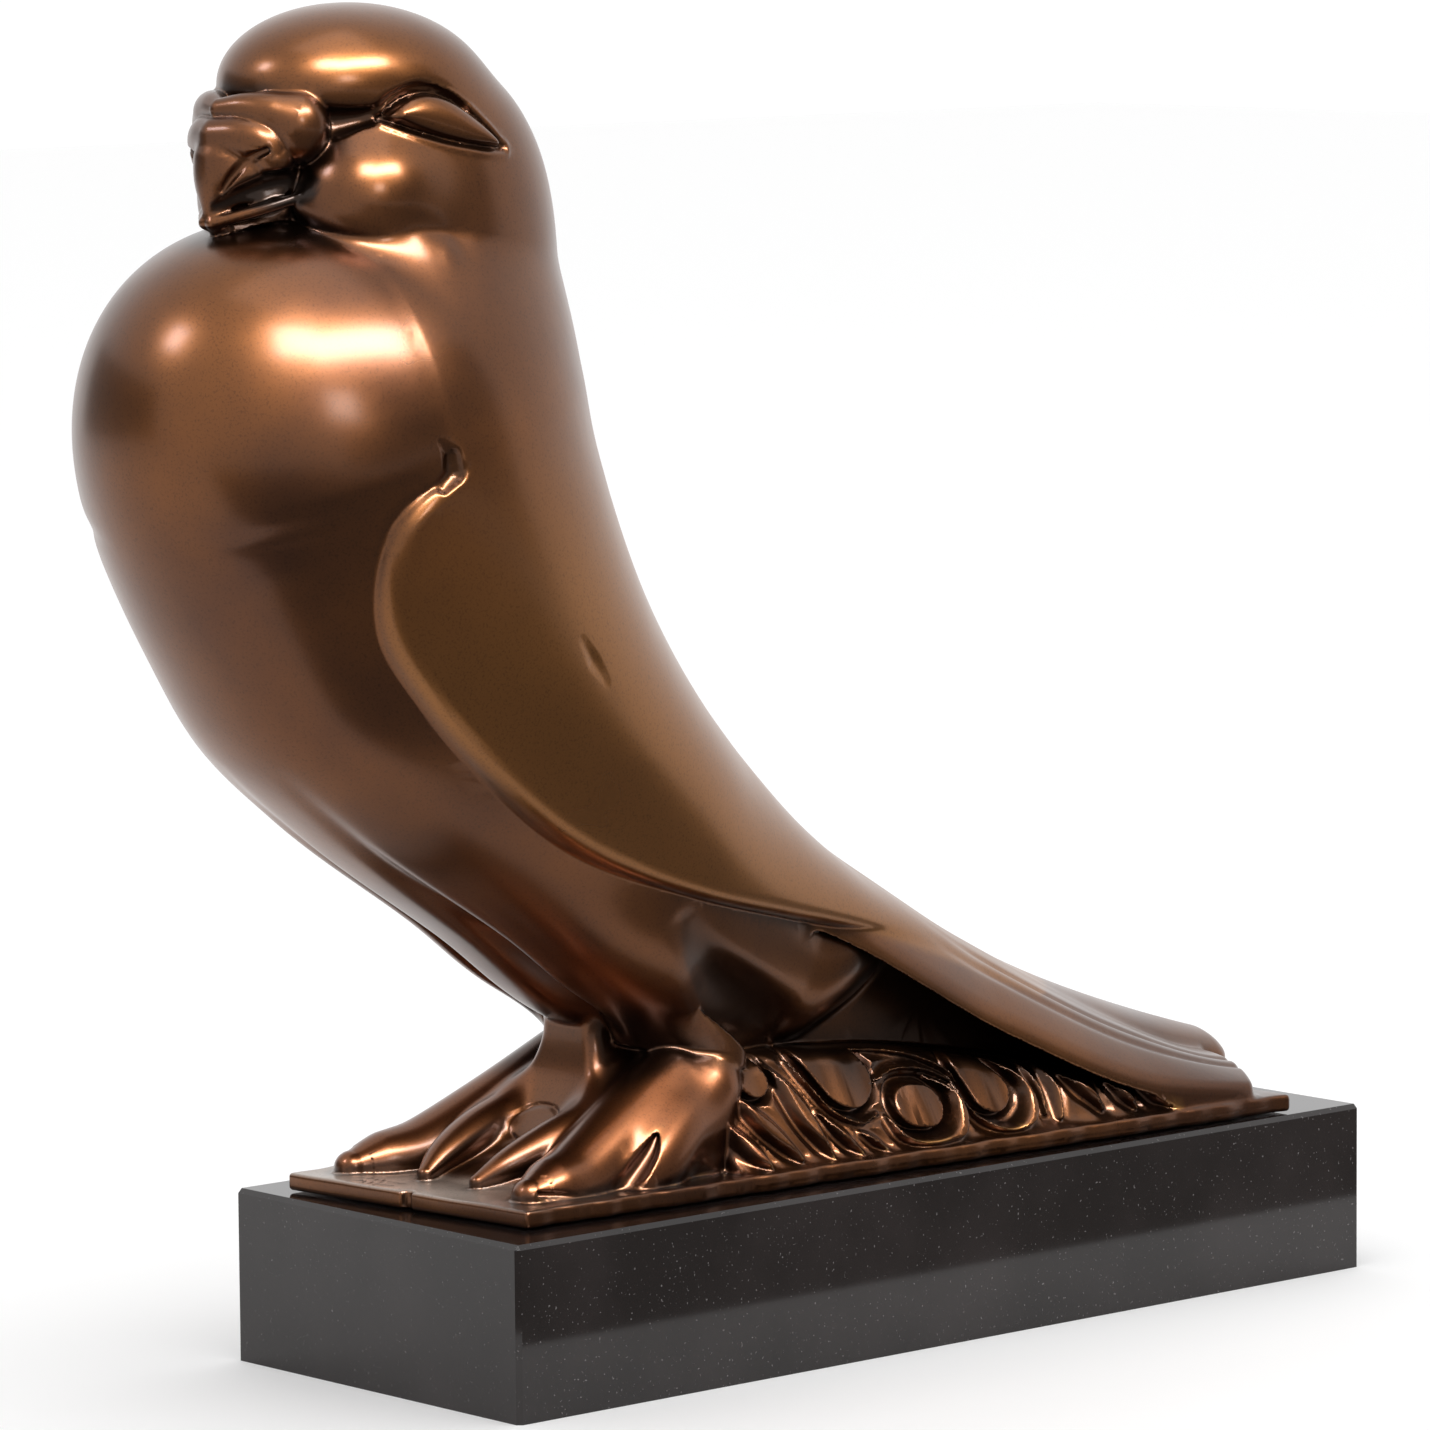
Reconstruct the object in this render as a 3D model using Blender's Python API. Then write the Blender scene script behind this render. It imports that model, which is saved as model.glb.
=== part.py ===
"""Bronze pigeon on a polished black stone plinth.

The pigeon, its feet, its scrolled bank and its thin base plate are one casting. The casting stands
on a separate rectangular stone plinth. The bird faces -Y, +Z is up, and the origin is the centre of
the plinth's underside. The casting is described as a field: a function that is negative inside the
bronze and positive outside it. Each form of the bird is a short function of that field, worked out
in figure millimetres, whose zero is the top of the base plate.
"""
import math

import bpy
import bmesh
import numpy as np
import openvdb

# Plinth, in metres
PLINTH_LENGTH = 0.200
PLINTH_WIDTH = 0.075
PLINTH_HEIGHT = 0.030
PLINTH_CHAMFER = 0.0008

# Base plate of the casting, in metres
SEAT_GAP = 0.0003
PLATE_LENGTH = 0.177
PLATE_FRONT_WIDTH = 0.0570
PLATE_REAR_WIDTH = 0.0710
PLATE_THICKNESS = 0.0030
PLATE_FRONT_MARGIN = 0.0070
PLATE_EDGE_RADIUS = 0.0007

# The bird, in metres: its height above the plate sets its other sizes
FIGURE_HEIGHT = 0.1997
FIGURE_SETBACK = 0.0930
DESIGN_HEIGHT = 199.7
UNIT = FIGURE_HEIGHT / DESIGN_HEIGHT

# Skin of the casting
CELL = 1.1
BLOCK = 8
FIELD_LOW = (0.0, -168.0, -6.0)
FIELD_HIGH = (48.0, 112.0, 206.0)
CASTING_TRIANGLES = 9000

# Spine of the body: a parabola from the neck through the breast to the tail
SPINE_NECK = np.array([-110.0, 166.7])
SPINE_BEND = np.array([-110.0, 26.7])
SPINE_TAIL = np.array([80.0, 8.7])
SPINE_CURL = 2.0 * (SPINE_NECK - 2.0 * SPINE_BEND + SPINE_TAIL)

# Stations of the body along the spine: middle, half depth and half width of each section
BODY_AT = (0.0, 0.12, 0.24, 0.30, 0.36, 0.48, 0.60, 0.75, 0.90, 1.05)
BODY_MIDDLE = (0.8, -1.7, 0.5, 1.3, 3.1, 5.4, 3.7, 3.9, -0.1, -7.0)
BODY_DEPTH = (48.6, 43.9, 41.4, 39.6, 36.1, 30.0, 27.7, 18.2, 11.5, 4.5)
BODY_WIDTH = (39.0, 40.0, 40.5, 40.2, 39.5, 37.0, 33.0, 26.0, 17.0, 8.0)

# Stations of the folded wings, which follow the body and then run out to their tips
WING_AT = (0.0, 0.12, 0.24, 0.36, 0.48, 0.60, 0.655, 0.71, 0.77, 0.82, 0.87, 0.92, 1.06)
WING_MIDDLE = (0.8, -1.7, 0.5, 3.1, 5.4, 3.7, 6.6, 9.2, 9.65, 8.0, 5.6, 2.1, -8.0)
WING_DEPTH = (48.6, 43.9, 41.4, 36.1, 30.0, 27.0, 20.3, 14.0, 10.0, 8.0, 6.9, 6.8, 6.1)
WING_WIDTH = (39.0, 40.0, 40.5, 39.5, 37.0, 33.0, 30.2, 27.1, 23.4, 20.5, 17.7, 15.0, 9.5)

# Lower and front edge of the wing, as a height across the body at stations of the spine
EDGE_AT = (0.12, 0.145, 0.156, 0.162, 0.172, 0.185, 0.20, 0.23, 0.29, 0.35, 0.44, 0.54, 0.63,
           0.71, 0.77, 0.82, 0.87, 0.92, 1.05)
EDGE_HEIGHT = (-8.0, -8.0, -9.5, -14.0, -18.0, -20.3, -22.0, -23.6, -21.2, -17.1, -11.0, -1.8, 5.4,
               9.4, 9.65, 8.2, 5.9, 2.2, -8.0)

# Inner edge of the wing on the back: the half width of the bare back between the wings
BACK_AT = (0.43, 0.50, 0.57, 0.65, 0.72, 0.85, 0.95, 1.05)
BACK_WIDTH = (19.0, 17.0, 13.0, 7.0, 1.5, 1.0, 1.2, 2.0)

# Tail: edge height, half width and rise towards the middle, along the length
TAIL_AT = (-30.0, -21.0, 20.8, 55.0, 76.0, 90.0)
TAIL_EDGE = (44.0, 40.2, 17.6, 3.6, 0.9, 0.3)
TAIL_WIDTH = (24.0, 26.0, 30.0, 33.0, 34.0, 33.0)
TAIL_RISE = (12.0, 13.0, 11.0, 7.0, 3.0, 2.0)
TAIL_THICKNESS = 3.4

# Bank of scrolls under the tail
BANK_AT = (-44.0, -36.0, -10.0, 20.0, 45.0, 65.0, 78.0)
BANK_TOP = (13.0, 17.0, 17.5, 13.0, 7.5, 3.0, 0.8)
BANK_INSET = 1.2
BANK_LEAN = math.radians(30.0)

# Depth to which the feet and the tail sink into the plate
FOOTING = 1.0

# Looks
BRONZE = dict(color=(0.20, 0.075, 0.026, 1.0), metallic=1.0, roughness=0.32)
STONE = dict(color=(0.018, 0.015, 0.014, 1.0), metallic=0.0, roughness=0.16)


# Arithmetic of the field

def curve(u, stations, values):
    """Read a smooth curve through the values at the stations, held level past both ends."""
    at = np.asarray(stations, float)
    value = np.asarray(values, float)
    slope = np.gradient(value, at)
    u = np.clip(u, at[0], at[-1])
    i = np.clip(np.searchsorted(at, u, side="right") - 1, 0, len(at) - 2)
    span = at[i + 1] - at[i]
    s = (u - at[i]) / span
    start = ((1 + 2 * s) * value[i] + s * span * slope[i]) * (1 - s) ** 2
    end = ((3 - 2 * s) * value[i + 1] - (1 - s) * span * slope[i + 1]) * s * s
    return start + end


def ease(u, low, high):
    """Rise smoothly from 0 at low to 1 at high."""
    s = np.clip((u - low) / (high - low), 0.0, 1.0)
    return s * s * (3 - 2 * s)


def join(a, b, blend):
    """Union of two forms with a fillet of the given width between them."""
    near = np.maximum(blend - np.abs(a - b), 0.0) / blend
    return np.minimum(a, b) - near * near * blend / 4


def keep(a, b, blend):
    """Part of form a that is also inside form b, with a rounded corner."""
    return -join(-a, -b, blend)


def ellipsoid(x, y, z, centre, radii, tilt=0.0):
    """Ellipsoid turned about X by tilt, its nose rising for a positive tilt of its rear."""
    dy = y - centre[1]
    dz = z - centre[2]
    dy, dz = dy * math.cos(tilt) + dz * math.sin(tilt), dz * math.cos(tilt) - dy * math.sin(tilt)
    u, v, w = (x - centre[0]) / radii[0], dy / radii[1], dz / radii[2]
    q = np.sqrt(u * u + v * v + w * w) + 1e-9
    g = np.sqrt((u / radii[0]) ** 2 + (v / radii[1]) ** 2 + (w / radii[2]) ** 2) + 1e-9
    return q * (q - 1) / g


def section(x, s, middle, depth, width):
    """Elliptical cross-section of a limb or a body."""
    u, v = x / width, (s - middle) / depth
    q = np.sqrt(u * u + v * v) + 1e-9
    g = np.sqrt((u / width) ** 2 + (v / depth) ** 2) + 1e-9
    return q * (q - 1) / g


def strand(x, y, z, points, radii):
    """Round strand through the points, whose radius changes from point to point."""
    field = None
    for (ax, ay, az), (bx, by, bz), r0, r1 in zip(points[:-1], points[1:], radii[:-1], radii[1:]):
        dx, dy, dz = bx - ax, by - ay, bz - az
        h = ((x - ax) * dx + (y - ay) * dy + (z - az) * dz) / (dx * dx + dy * dy + dz * dz)
        h = np.clip(h, 0.0, 1.0)
        far = np.sqrt((x - ax - h * dx) ** 2 + (y - ay - h * dy) ** 2 + (z - az - h * dz) ** 2)
        piece = far - (r0 + (r1 - r0) * h)
        field = piece if field is None else np.minimum(field, piece)
    return field


# Body and wings

def on_spine(y, z):
    """Station t along the spine and height s across it, back side positive, of points (y, z)."""
    t = np.clip((167 - z) / 230 + (y + 110) / 420, -0.2, 1.2)
    for _ in range(5):
        middle, run = spine_at(t)
        dy, dz = y - middle[0], z - middle[1]
        miss = dy * run[0] + dz * run[1]
        rate = dy * SPINE_CURL[0] + dz * SPINE_CURL[1] - (run[0] ** 2 + run[1] ** 2)
        t = np.clip(t - miss / np.minimum(rate, -1e3), -0.3, 1.3)
    middle, run = spine_at(t)
    length = np.hypot(run[0], run[1])
    s = ((z - middle[1]) * run[0] - (y - middle[0]) * run[1]) / length
    return t, s, length


def spine_at(t):
    """Point and direction of the spine at station t."""
    middle = [(1 - t) ** 2 * a + 2 * t * (1 - t) * b + t * t * c
              for a, b, c in zip(SPINE_NECK, SPINE_BEND, SPINE_TAIL)]
    run = [2 * ((1 - t) * (b - a) + t * (c - b))
           for a, b, c in zip(SPINE_NECK, SPINE_BEND, SPINE_TAIL)]
    return middle, run


def shoulder(t):
    """Share of the section's full size: the body closes in a dome at the neck."""
    return (1 - np.clip((0.18 - t) / 0.175, 0, 0.999) ** 2.5) ** 0.4


def edge_distance(t, s, length):
    """Distance across the wing's edge line, positive on the wing."""
    step = 0.01
    slope = (curve(t + step, EDGE_AT, EDGE_HEIGHT) - curve(t - step, EDGE_AT, EDGE_HEIGHT)) / (2 * step)
    return (s - curve(t, EDGE_AT, EDGE_HEIGHT)) / np.sqrt(1 + (slope / length) ** 2)


def breast(x, t, s, edge):
    """Body without its wings: hollowed along the wing's edge and grooved beside the thighs."""
    full = shoulder(t)
    field = section(x, s, curve(t, BODY_AT, BODY_MIDDLE), curve(t, BODY_AT, BODY_DEPTH) * full,
                    curve(t, BODY_AT, BODY_WIDTH) * full)
    field = keep(field, -t * 280, 4)
    hollow = np.exp(-(np.minimum(edge, 0) / 10) ** 2) * ease(-edge, -3, 0.5)
    field = field + 2.4 * hollow * ease(t, 0.12, 0.15) * ease(x, 6, 16)
    field = field + 2.6 * ease(t, 0.52, 0.68)
    groove = np.exp(-((x - 8.5) / 2.4) ** 2) * ease(-s, 0, 12)
    field = field + curve(t, (0.3, 0.4, 0.5, 0.6), (0, 1.2, 3.5, 5)) * groove
    return keep(field, (t - 0.72) * 330, 10)


def wing(x, t, s, edge):
    """Folded wings: raised above the breast, parted on the back and cut square at the tips."""
    full = shoulder(t)
    field = section(x, s, curve(t, WING_AT, WING_MIDDLE), curve(t, WING_AT, WING_DEPTH) * full,
                    curve(t, WING_AT, WING_WIDTH) * full)
    field = field - 0.3 * ease(t, 0.12, 0.15)
    inner = 6 * (1 - ease(x, 3, 9)) * ease(t, 0.6, 0.7)
    field = keep(field, -edge - inner, 1.6)
    field = keep(field, -t * 280, 4)
    field = keep(field, (t - 1.045) * 370, 5)
    bare = 1 - ease(x - curve(t, BACK_AT, BACK_WIDTH), -1.2, 1.0)
    field = field + 1.3 * bare * ease(s, 2, 10) * ease(t, 0.43, 0.52)
    parting = 1.4 * ease(t, 0.72, 0.95) + (t - 0.95) * 8 - x
    return keep(field, parting - 8 * (1 - ease(t, 0.7, 0.9)), 1.5)


def notch(x, y, z):
    """Short cleft where the wing leaves the shoulder."""
    line = ((38.9, -115, 129.8), (39.3, -113.2, 127.6), (39.5, -113, 125), (39, -114.9, 122.9))
    return strand(x, y, z, line, (0.3, 1.3, 1.6, 0.9))


# Head and beak

def eye_distance(y, z):
    """Distance outside the almond outline of the eye, seen from the side."""
    run, rise, length = 0.972, -0.235, 22.5
    p = (y + 109.1) * run + (z - 181.2) * rise
    q = (z - 181.2) * run - (y + 109.1) * rise
    w = np.clip(p / length, 0, 1)
    v = w ** 0.75
    d = np.maximum(q - 23.6 * v * (1 - v), -4 * w * (1 - w) - q)
    past = np.maximum(np.maximum(-p, p - length), 0)
    return np.sqrt(np.maximum(d, 0) ** 2 + past ** 2) + np.minimum(d, 0)


def skull(x, y, z):
    """Column of the neck with the domed head, flatter at the face than behind."""
    heights = (60, 100, 125, 137.7, 150.7, 163.7, 199)
    width = curve(z, heights, (20, 25, 27, 28, 27, 25.5, 25))
    depth = curve(z, heights, (20, 25, 28, 29.5, 30, 30, 29.8))
    depth = np.where(y < -94.6, depth * 0.76, depth)
    flat = np.sqrt((x / width) ** 2 + ((y + 94.6) / depth) ** 2)
    rise = np.maximum(z - 158, 0) / 35.5
    q = (flat ** 2.3 + rise ** 2.3) ** (1 / 2.3)
    return keep((q - 1) * 26, 95 - z, 20)


def head(x, y, z):
    """Head with its forehead, cheek, chin ridge, brow and closed almond eye."""
    field = join(skull(x, y, z), ellipsoid(x, y, z, (0, -103, 186.5), (19, 22.1, 13.2)), 6)
    field = join(field, ellipsoid(x, y, z, (12.5, -108, 168.5), (12.5, 13, 12)), 5)
    chin = ((13, -119, 167), (16.8, -116.8, 165.2), (19.8, -113, 163.3), (22.4, -107.8, 161.3),
            (24.2, -103.5, 159.8))
    field = join(field, strand(x, y, z, chin, (1.5, 1.9, 1.9, 1.5, 0.8)), 3)
    brow = ((0, -126.5, 181.5), (9, -122.5, 181), (13, -117, 180.8), (15.5, -112.5, 181.4),
            (17.4, -109.9, 182.4), (18.2, -107, 185.4), (18.6, -103, 187), (18.9, -98.6, 186.6),
            (19.8, -93.6, 184), (21, -89.2, 180), (22, -86.3, 175.6))
    field = keep(field, -strand(x, y, z, brow, (4.2, 3.6, 2.4, 1.5, 1.2, 1.4, 1.4, 1.3, 1.1, 0.8, 0.3)), 2.2)
    outside = eye_distance(y, z)
    side = ease(x, 8, 12)
    return field + 0.9 * side * (np.exp(-(outside / 0.5) ** 2) - ease(-outside, 0.2, 2.8))


def beak(x, y, z):
    """Short beak: two rolled lobes of the cere, the hooked upper bill, the mouth and the jaw."""
    field = join(ellipsoid(x, y, z, (0, -117, 180), (13.8, 12.2, 7.6), -0.1),
                 ellipsoid(x, y, z, (0, -119.3, 175.5), (11.3, 11.4, 7.6), -0.05), 0.5)
    bill = join(ellipsoid(x, y, z, (0, -121.3, 171), (9.2, 9.2, 8)),
                strand(x, y, z, ((0, -126.4, 171), (0, -129.4, 165)), (4.2, 1.7)), 4)
    field = join(field, bill, 0.8)
    field = keep(field, -ellipsoid(x, y, z, (9.8, -124.3, 169.9), (6.3, 7.4, 2.6), 0.32), 0.8)
    slit = ((2.7, -130.8, 169.9), (4.1, -130, 172.3), (6, -128.8, 174.4), (7.7, -127.6, 175.9),
            (8.6, -126.5, 176.5), (9.5, -125.5, 175.9))
    field = keep(field, -strand(x, y, z, slit, (0.35, 0.6, 0.7, 0.7, 0.6, 0.3)), 0.4)
    fold = ((0, -129.6, 181), (5.3, -128.3, 181.5), (10.2, -125.2, 181.1), (11.2, -122.8, 177.8),
            (10.9, -122, 173.4))
    field = keep(field, -strand(x, y, z, fold, (0.7, 0.9, 1.0, 1.1, 0.8)), 1.6)
    field = join(field, strand(x, y, z, ((0, -118, 163), (0, -129, 163.8)), (8, 2)), 1.5)
    lip = ((2, -130, 165), (6, -126.5, 166.4), (10, -121, 169))
    return join(field, strand(x, y, z, lip, (1.0, 1.1, 1.0)), 1.0)


# Legs and feet

def hem(y):
    """Height of the hem where the feathered thigh ends above the foot."""
    return 20.0 + (-47 - y) * 0.27


def thigh(x, y, z):
    """Feathered thigh with its sharp rear fold, cut off at the hem."""
    field = strand(x, y, z, ((15.5, -53, 36), (14, -44, 18)), (8.5, 9.5))
    field = keep(field, hem(y) - z, 0.8)
    fold = curve(z, (-20, 18.6, 24.2, 31, 37.2, 41, 45, 60), (-30, -33, -40, -48, -54, -56.5, -57.5, -60))
    return keep(field, (y - fold) * 0.75, 1.0)


def foot(x, y, z):
    """Foot with three toes on a ramp, the heel's rear edge and the web between the legs."""
    inner = strand(x, y, z, ((11, -48, 16), (9, -61, 7), (7.2, -74, 2.4), (6.4, -83.2, 0.6)), (5.5, 4.5, 3.2, 1.2))
    middle = strand(x, y, z, ((15, -47, 15), (17, -61, 6.2), (19, -75, 3), (20.8, -87, 1.2)), (6, 6, 4.6, 1.7))
    outer = strand(x, y, z, ((19, -44, 13), (22, -53, 6.5), (25.4, -63, 2.6), (28, -72.5, 0.3)), (4, 5.4, 4.6, 2.2))
    field = join(join(inner, middle, 1.6), outer, 2.0)
    ramp = (z - curve(y, (-86, -76, -64, -54, -46, -40), (-2.5, 0.5, 5.5, 11, 17, 20))) * 0.75
    ramp = keep(keep(ramp, x - 24.5 + (y + 46) * 0.04, 4), 5 - x, 3)
    ramp = keep(ramp, np.maximum(-86 - y, y + 36), 2)
    field = join(field, ramp, 2.5)
    heel = strand(x, y, z, ((18.5, -37.5, 17), (22, -41, 8), (26.5, -45, 0)), (2.0, 2.2, 2.4))
    field = join(field, heel, 6)
    front = curve(z, (-2, 0.2, 2.7, 8.2, 14, 23.6, 34), (-84, -80, -72, -64.5, -60, -57, -60))
    field = join(field, keep(keep(front - y, y + 40, 3), x - 11, 3), 4)
    field = keep(field, (y + 35) * 0.94 + (17 - z) * 0.33, 1.0)
    return keep(field, z - hem(y) - 2, 1)


# Tail, bank and plate

def vent(x, y, z):
    """Rounded underside of the body between the thighs and the tail."""
    field = ellipsoid(x, y, z, (0, -24, 33), (27, 37, 16.5), 0.22)
    return keep(field, (z + 0.45 * y - 37) * 0.9, 1)


def tail_core(x, y, z):
    """Solid middle that carries the tail down to the plate."""
    top = curve(y, TAIL_AT, TAIL_EDGE) + curve(y, TAIL_AT, TAIL_RISE)
    field = keep(x - 14, z - top, 2)
    return keep(keep(field, -38 - y, 3), y - 74, 2)


def tail(x, y, z):
    """Fanned tail: a thin roof from the rump to the plate, grooved between its feathers."""
    width = curve(y, TAIL_AT, TAIL_WIDTH)
    top = curve(y, TAIL_AT, TAIL_EDGE) + 1.6
    top = top + curve(y, TAIL_AT, TAIL_RISE) * (1 - np.minimum(x / width, 1.2) ** 1.7)
    thickness = TAIL_THICKNESS + 9 * ease(y, 50, 76)
    middle = top - thickness / 2
    field = (np.abs(z - middle) - thickness / 2) * 0.8
    for share in (0.62, 0.80):
        groove = 0.7 * np.exp(-((x - share * width) / 0.8) ** 2) * ease(y, 0, 30)
        field = field + np.where(z > middle, groove, 0)
    field = keep(field, x - width, 1.5)
    field = keep(field, y - (87 - 10.5 * (x / 34) ** 2), 1.5)
    return keep(field, -28 - y, 2)


def plate_half_width(y):
    """Half width of the base plate, which widens towards the tail."""
    share = (y * UNIT + FIGURE_SETBACK) / PLATE_LENGTH
    return (PLATE_FRONT_WIDTH + (PLATE_REAR_WIDTH - PLATE_FRONT_WIDTH) * share) / (2 * UNIT)


def plate(x, y, z):
    """Thin base plate with softened edges."""
    radius = PLATE_EDGE_RADIUS / UNIT
    middle = (PLATE_LENGTH / 2 - FIGURE_SETBACK) / UNIT
    q = np.stack([x - plate_half_width(y) + radius,
                  np.abs(y - middle) - PLATE_LENGTH / (2 * UNIT) + radius,
                  np.abs(z + PLATE_THICKNESS / (2 * UNIT)) - PLATE_THICKNESS / (2 * UNIT) + radius])
    return np.sqrt((np.maximum(q, 0) ** 2).sum(0)) + np.minimum(q.max(0), 0) - radius


def swell(distance, width, height):
    """Rounded ridge of the given half width and height over its centre line."""
    return height * (1 - ease(distance, 0, width))


def stroke(u, v, start, end):
    """Distance to a straight line and the share of its length, on the bank's face."""
    du, dv = end[0] - start[0], end[1] - start[1]
    h = np.clip(((u - start[0]) * du + (v - start[1]) * dv) / (du * du + dv * dv), 0, 1)
    return np.hypot(u - start[0] - h * du, v - start[1] - h * dv), h


def scrolls(u, v):
    """Relief of the bank's face: a curl, two hanging drops with bands, and slanting leaves."""
    ground = 0.6
    r = np.hypot((u - 1.2) / 1.12, v - 7.9)
    turn = np.arctan2(v - 7.9, (u - 1.2) / 1.12)
    relief = 1.5 * (1 - ease(r, 2.6, 3.9))
    band = swell(np.abs(r - 5.9), 1.9, 2.0) * ease(turn, -2.4, -1.9) * (1 - ease(turn, 2.2, 2.7))
    relief = np.maximum(relief, band)
    away, share = stroke(u, v, (-9.5, 16.5), (-1.0, 13.4))
    relief = np.maximum(relief, swell(away - 0.6 * share, 2.0, 1.9))
    for eu, ev, ru, rv in ((-13.8, 14.0, 5.4, 5.0), (16.2, 9.8, 4.2, 5.2)):
        q = np.hypot((u - eu) / ru, (v - ev) / rv)
        turn = np.arctan2((v - ev) / rv, (u - eu) / ru)
        band = swell(np.abs(q - 1.38) * ru, 1.7, 1.9) * ease(turn, -2.2, -1.6) * (1 - ease(turn, 0.8, 1.5))
        relief = np.maximum(relief, np.maximum(1.5 * (1 - ease(q, 0.72, 1.0)), band))
    leaves = (((-39, 12.5), (-29, 1.5), 2.4), ((-31, 18), (-22.5, 1.5), 2.6), ((-24, 10), (-14, 2), 2.0),
              ((28.5, 12), (31, 1), 2.2), ((37, 8), (41.5, 1), 2.0), ((44.5, 5.5), (49.5, 1), 1.8),
              ((52, 4), (57, 0.8), 1.5))
    for start, end, width in leaves:
        away, share = stroke(u, v, start, end)
        full = width * (0.45 + 1.1 * np.sqrt(share * (1 - share) + 0.02))
        relief = np.maximum(relief, swell(away, full, 1.8))
    return (relief - ground) * ease(v, -0.5, 2.0)


def bank(x, y, z):
    """Sloping bank of scrolls from the plate's edge up under the tail."""
    foot_line = plate_half_width(y) - BANK_INSET
    rise = z / math.cos(BANK_LEAN)
    slope = (x - foot_line) * math.cos(BANK_LEAN) + z * math.sin(BANK_LEAN) - scrolls(y, rise)
    field = keep(slope, z - curve(y, BANK_AT, BANK_TOP), 3)
    return keep(keep(keep(field, -42 - y, 3), y - 79, 2), -z - FOOTING, 0.3)


def casting(x, y, z):
    """Field of the whole casting: negative inside the bronze."""
    x = np.sqrt(x * x + 1e-4)
    t, s, length = on_spine(y, z)
    edge = edge_distance(t, s, length)
    field = join(breast(x, t, s, edge), wing(x, t, s, edge), 0.5)
    field = keep(field, -notch(x, y, z), 1.0)
    top = head(x, y, z)
    blend = 2.0 + 8 * ease(y, -124, -106)
    near = np.maximum(blend - np.abs(field - top), 0) / blend
    field = np.minimum(field, top) - near * near * blend / 4
    field = join(field, beak(x, y, z), 0.8)
    field = join(field, thigh(x, y, z), 5)
    field = join(field, vent(x, y, z), 2)
    field = join(field, tail_core(x, y, z), 2)
    field = join(field, tail(x, y, z), 0.6)
    field = join(field, foot(x, y, z), 0.8)
    field = keep(field, -z - FOOTING, 0.3)
    ground = join(plate(x, y, z), bank(x, y, z), 1.0)
    return join(field, ground, 0.8)


# From the field to a skin

def sample_half(field, low, high, cell):
    """Values of the field on a grid over the half x >= 0, worked out near the skin only."""
    blocks = np.ceil((np.array(high) - low) / (cell * BLOCK)).astype(int)
    middles = [low[i] + (np.arange(blocks[i]) + 0.5) * cell * BLOCK for i in range(3)]
    rough = field(*[a.ravel() for a in np.meshgrid(*middles, indexing="ij")]).reshape(blocks)
    limit = 3 * cell
    values = np.where(rough < 0, -limit, limit).astype(np.float32)
    for axis in range(3):
        values = np.repeat(values, BLOCK, axis)
    near = np.argwhere(np.abs(rough) < cell * BLOCK * 1.35 + 3)
    offsets = np.stack(np.meshgrid(*[np.arange(BLOCK)] * 3, indexing="ij"), -1).reshape(-1, 3)
    for chunk in np.array_split(near, max(1, len(near) // 600)):
        index = (chunk[:, None, :] * BLOCK + offsets).reshape(-1, 3)
        points = np.array(low) + index * cell
        values[tuple(index.T)] = np.clip(field(*points.T), -limit, limit)
    return values


def skin_of(field, low, high, cell):
    """Closed skin of a field that is the same on both sides of x = 0: points and faces."""
    half = sample_half(field, low, high, cell)
    grid = openvdb.FloatGrid()
    grid.copyFromArray(np.ascontiguousarray(np.concatenate([half[:0:-1], half], 0)))
    points, triangles, quads = grid.convertToPolygons(isovalue=0.0, adaptivity=0.0)
    points = points.astype(float) * cell
    points += np.array([-(half.shape[0] - 1) * cell, low[1], low[2]])
    faces = [tuple(face) for face in list(quads) + list(triangles)]
    return settle(field, points, 0.6 * cell), faces


def settle(field, points, reach):
    """Move points along the field's slope onto its zero, by no more than the reach."""
    step = 0.15
    slope = np.empty_like(points)
    for axis in range(3):
        shift = np.zeros(3)
        shift[axis] = step
        slope[:, axis] = (field(*(points + shift).T) - field(*(points - shift).T)) / (2 * step)
    steep = np.maximum((slope ** 2).sum(1), 0.25)
    move = -(field(*points.T) / steep)[:, None] * slope
    length = np.linalg.norm(move, axis=1, keepdims=True)
    return points + move * np.minimum(1.0, reach / np.maximum(length, 1e-9))


def lean_front(points):
    """Slew the front of the feet and plate a little, which aren't square to the plinth."""
    points = points.copy()
    share = ease(-points[:, 1], 50, 90) * (1 - ease(points[:, 2], 8, 24))
    points[:, 1] += 0.1 * points[:, 0] * share
    return points


# Objects

def finish(name, color, metallic, roughness):
    """Principled material of one piece."""
    material = bpy.data.materials.new(name)
    material.use_nodes = True
    shader = material.node_tree.nodes["Principled BSDF"]
    shader.inputs["Base Color"].default_value = color
    shader.inputs["Metallic"].default_value = metallic
    shader.inputs["Roughness"].default_value = roughness
    return material


def add_object(name, mesh, material):
    """Put a mesh in the scene as an object with its material."""
    mesh.materials.append(material)
    piece = bpy.data.objects.new(name, mesh)
    bpy.context.scene.collection.objects.link(piece)
    return piece


def make_plinth():
    """Rectangular stone block with a fine chamfer on its upright and top edges."""
    mesh = bpy.data.meshes.new("marble_plinth")
    form = bmesh.new()
    bmesh.ops.create_cube(form, size=1.0)
    bmesh.ops.scale(form, vec=(PLINTH_WIDTH, PLINTH_LENGTH, PLINTH_HEIGHT), verts=form.verts)
    bmesh.ops.translate(form, vec=(0, 0, PLINTH_HEIGHT / 2), verts=form.verts)
    edges = [e for e in form.edges if max(v.co.z for v in e.verts) > PLINTH_HEIGHT / 2]
    bmesh.ops.bevel(form, geom=edges, offset=PLINTH_CHAMFER, segments=1, affect="EDGES")
    form.to_mesh(mesh)
    form.free()
    return add_object("marble_plinth", mesh, finish("black stone", **STONE))


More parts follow.
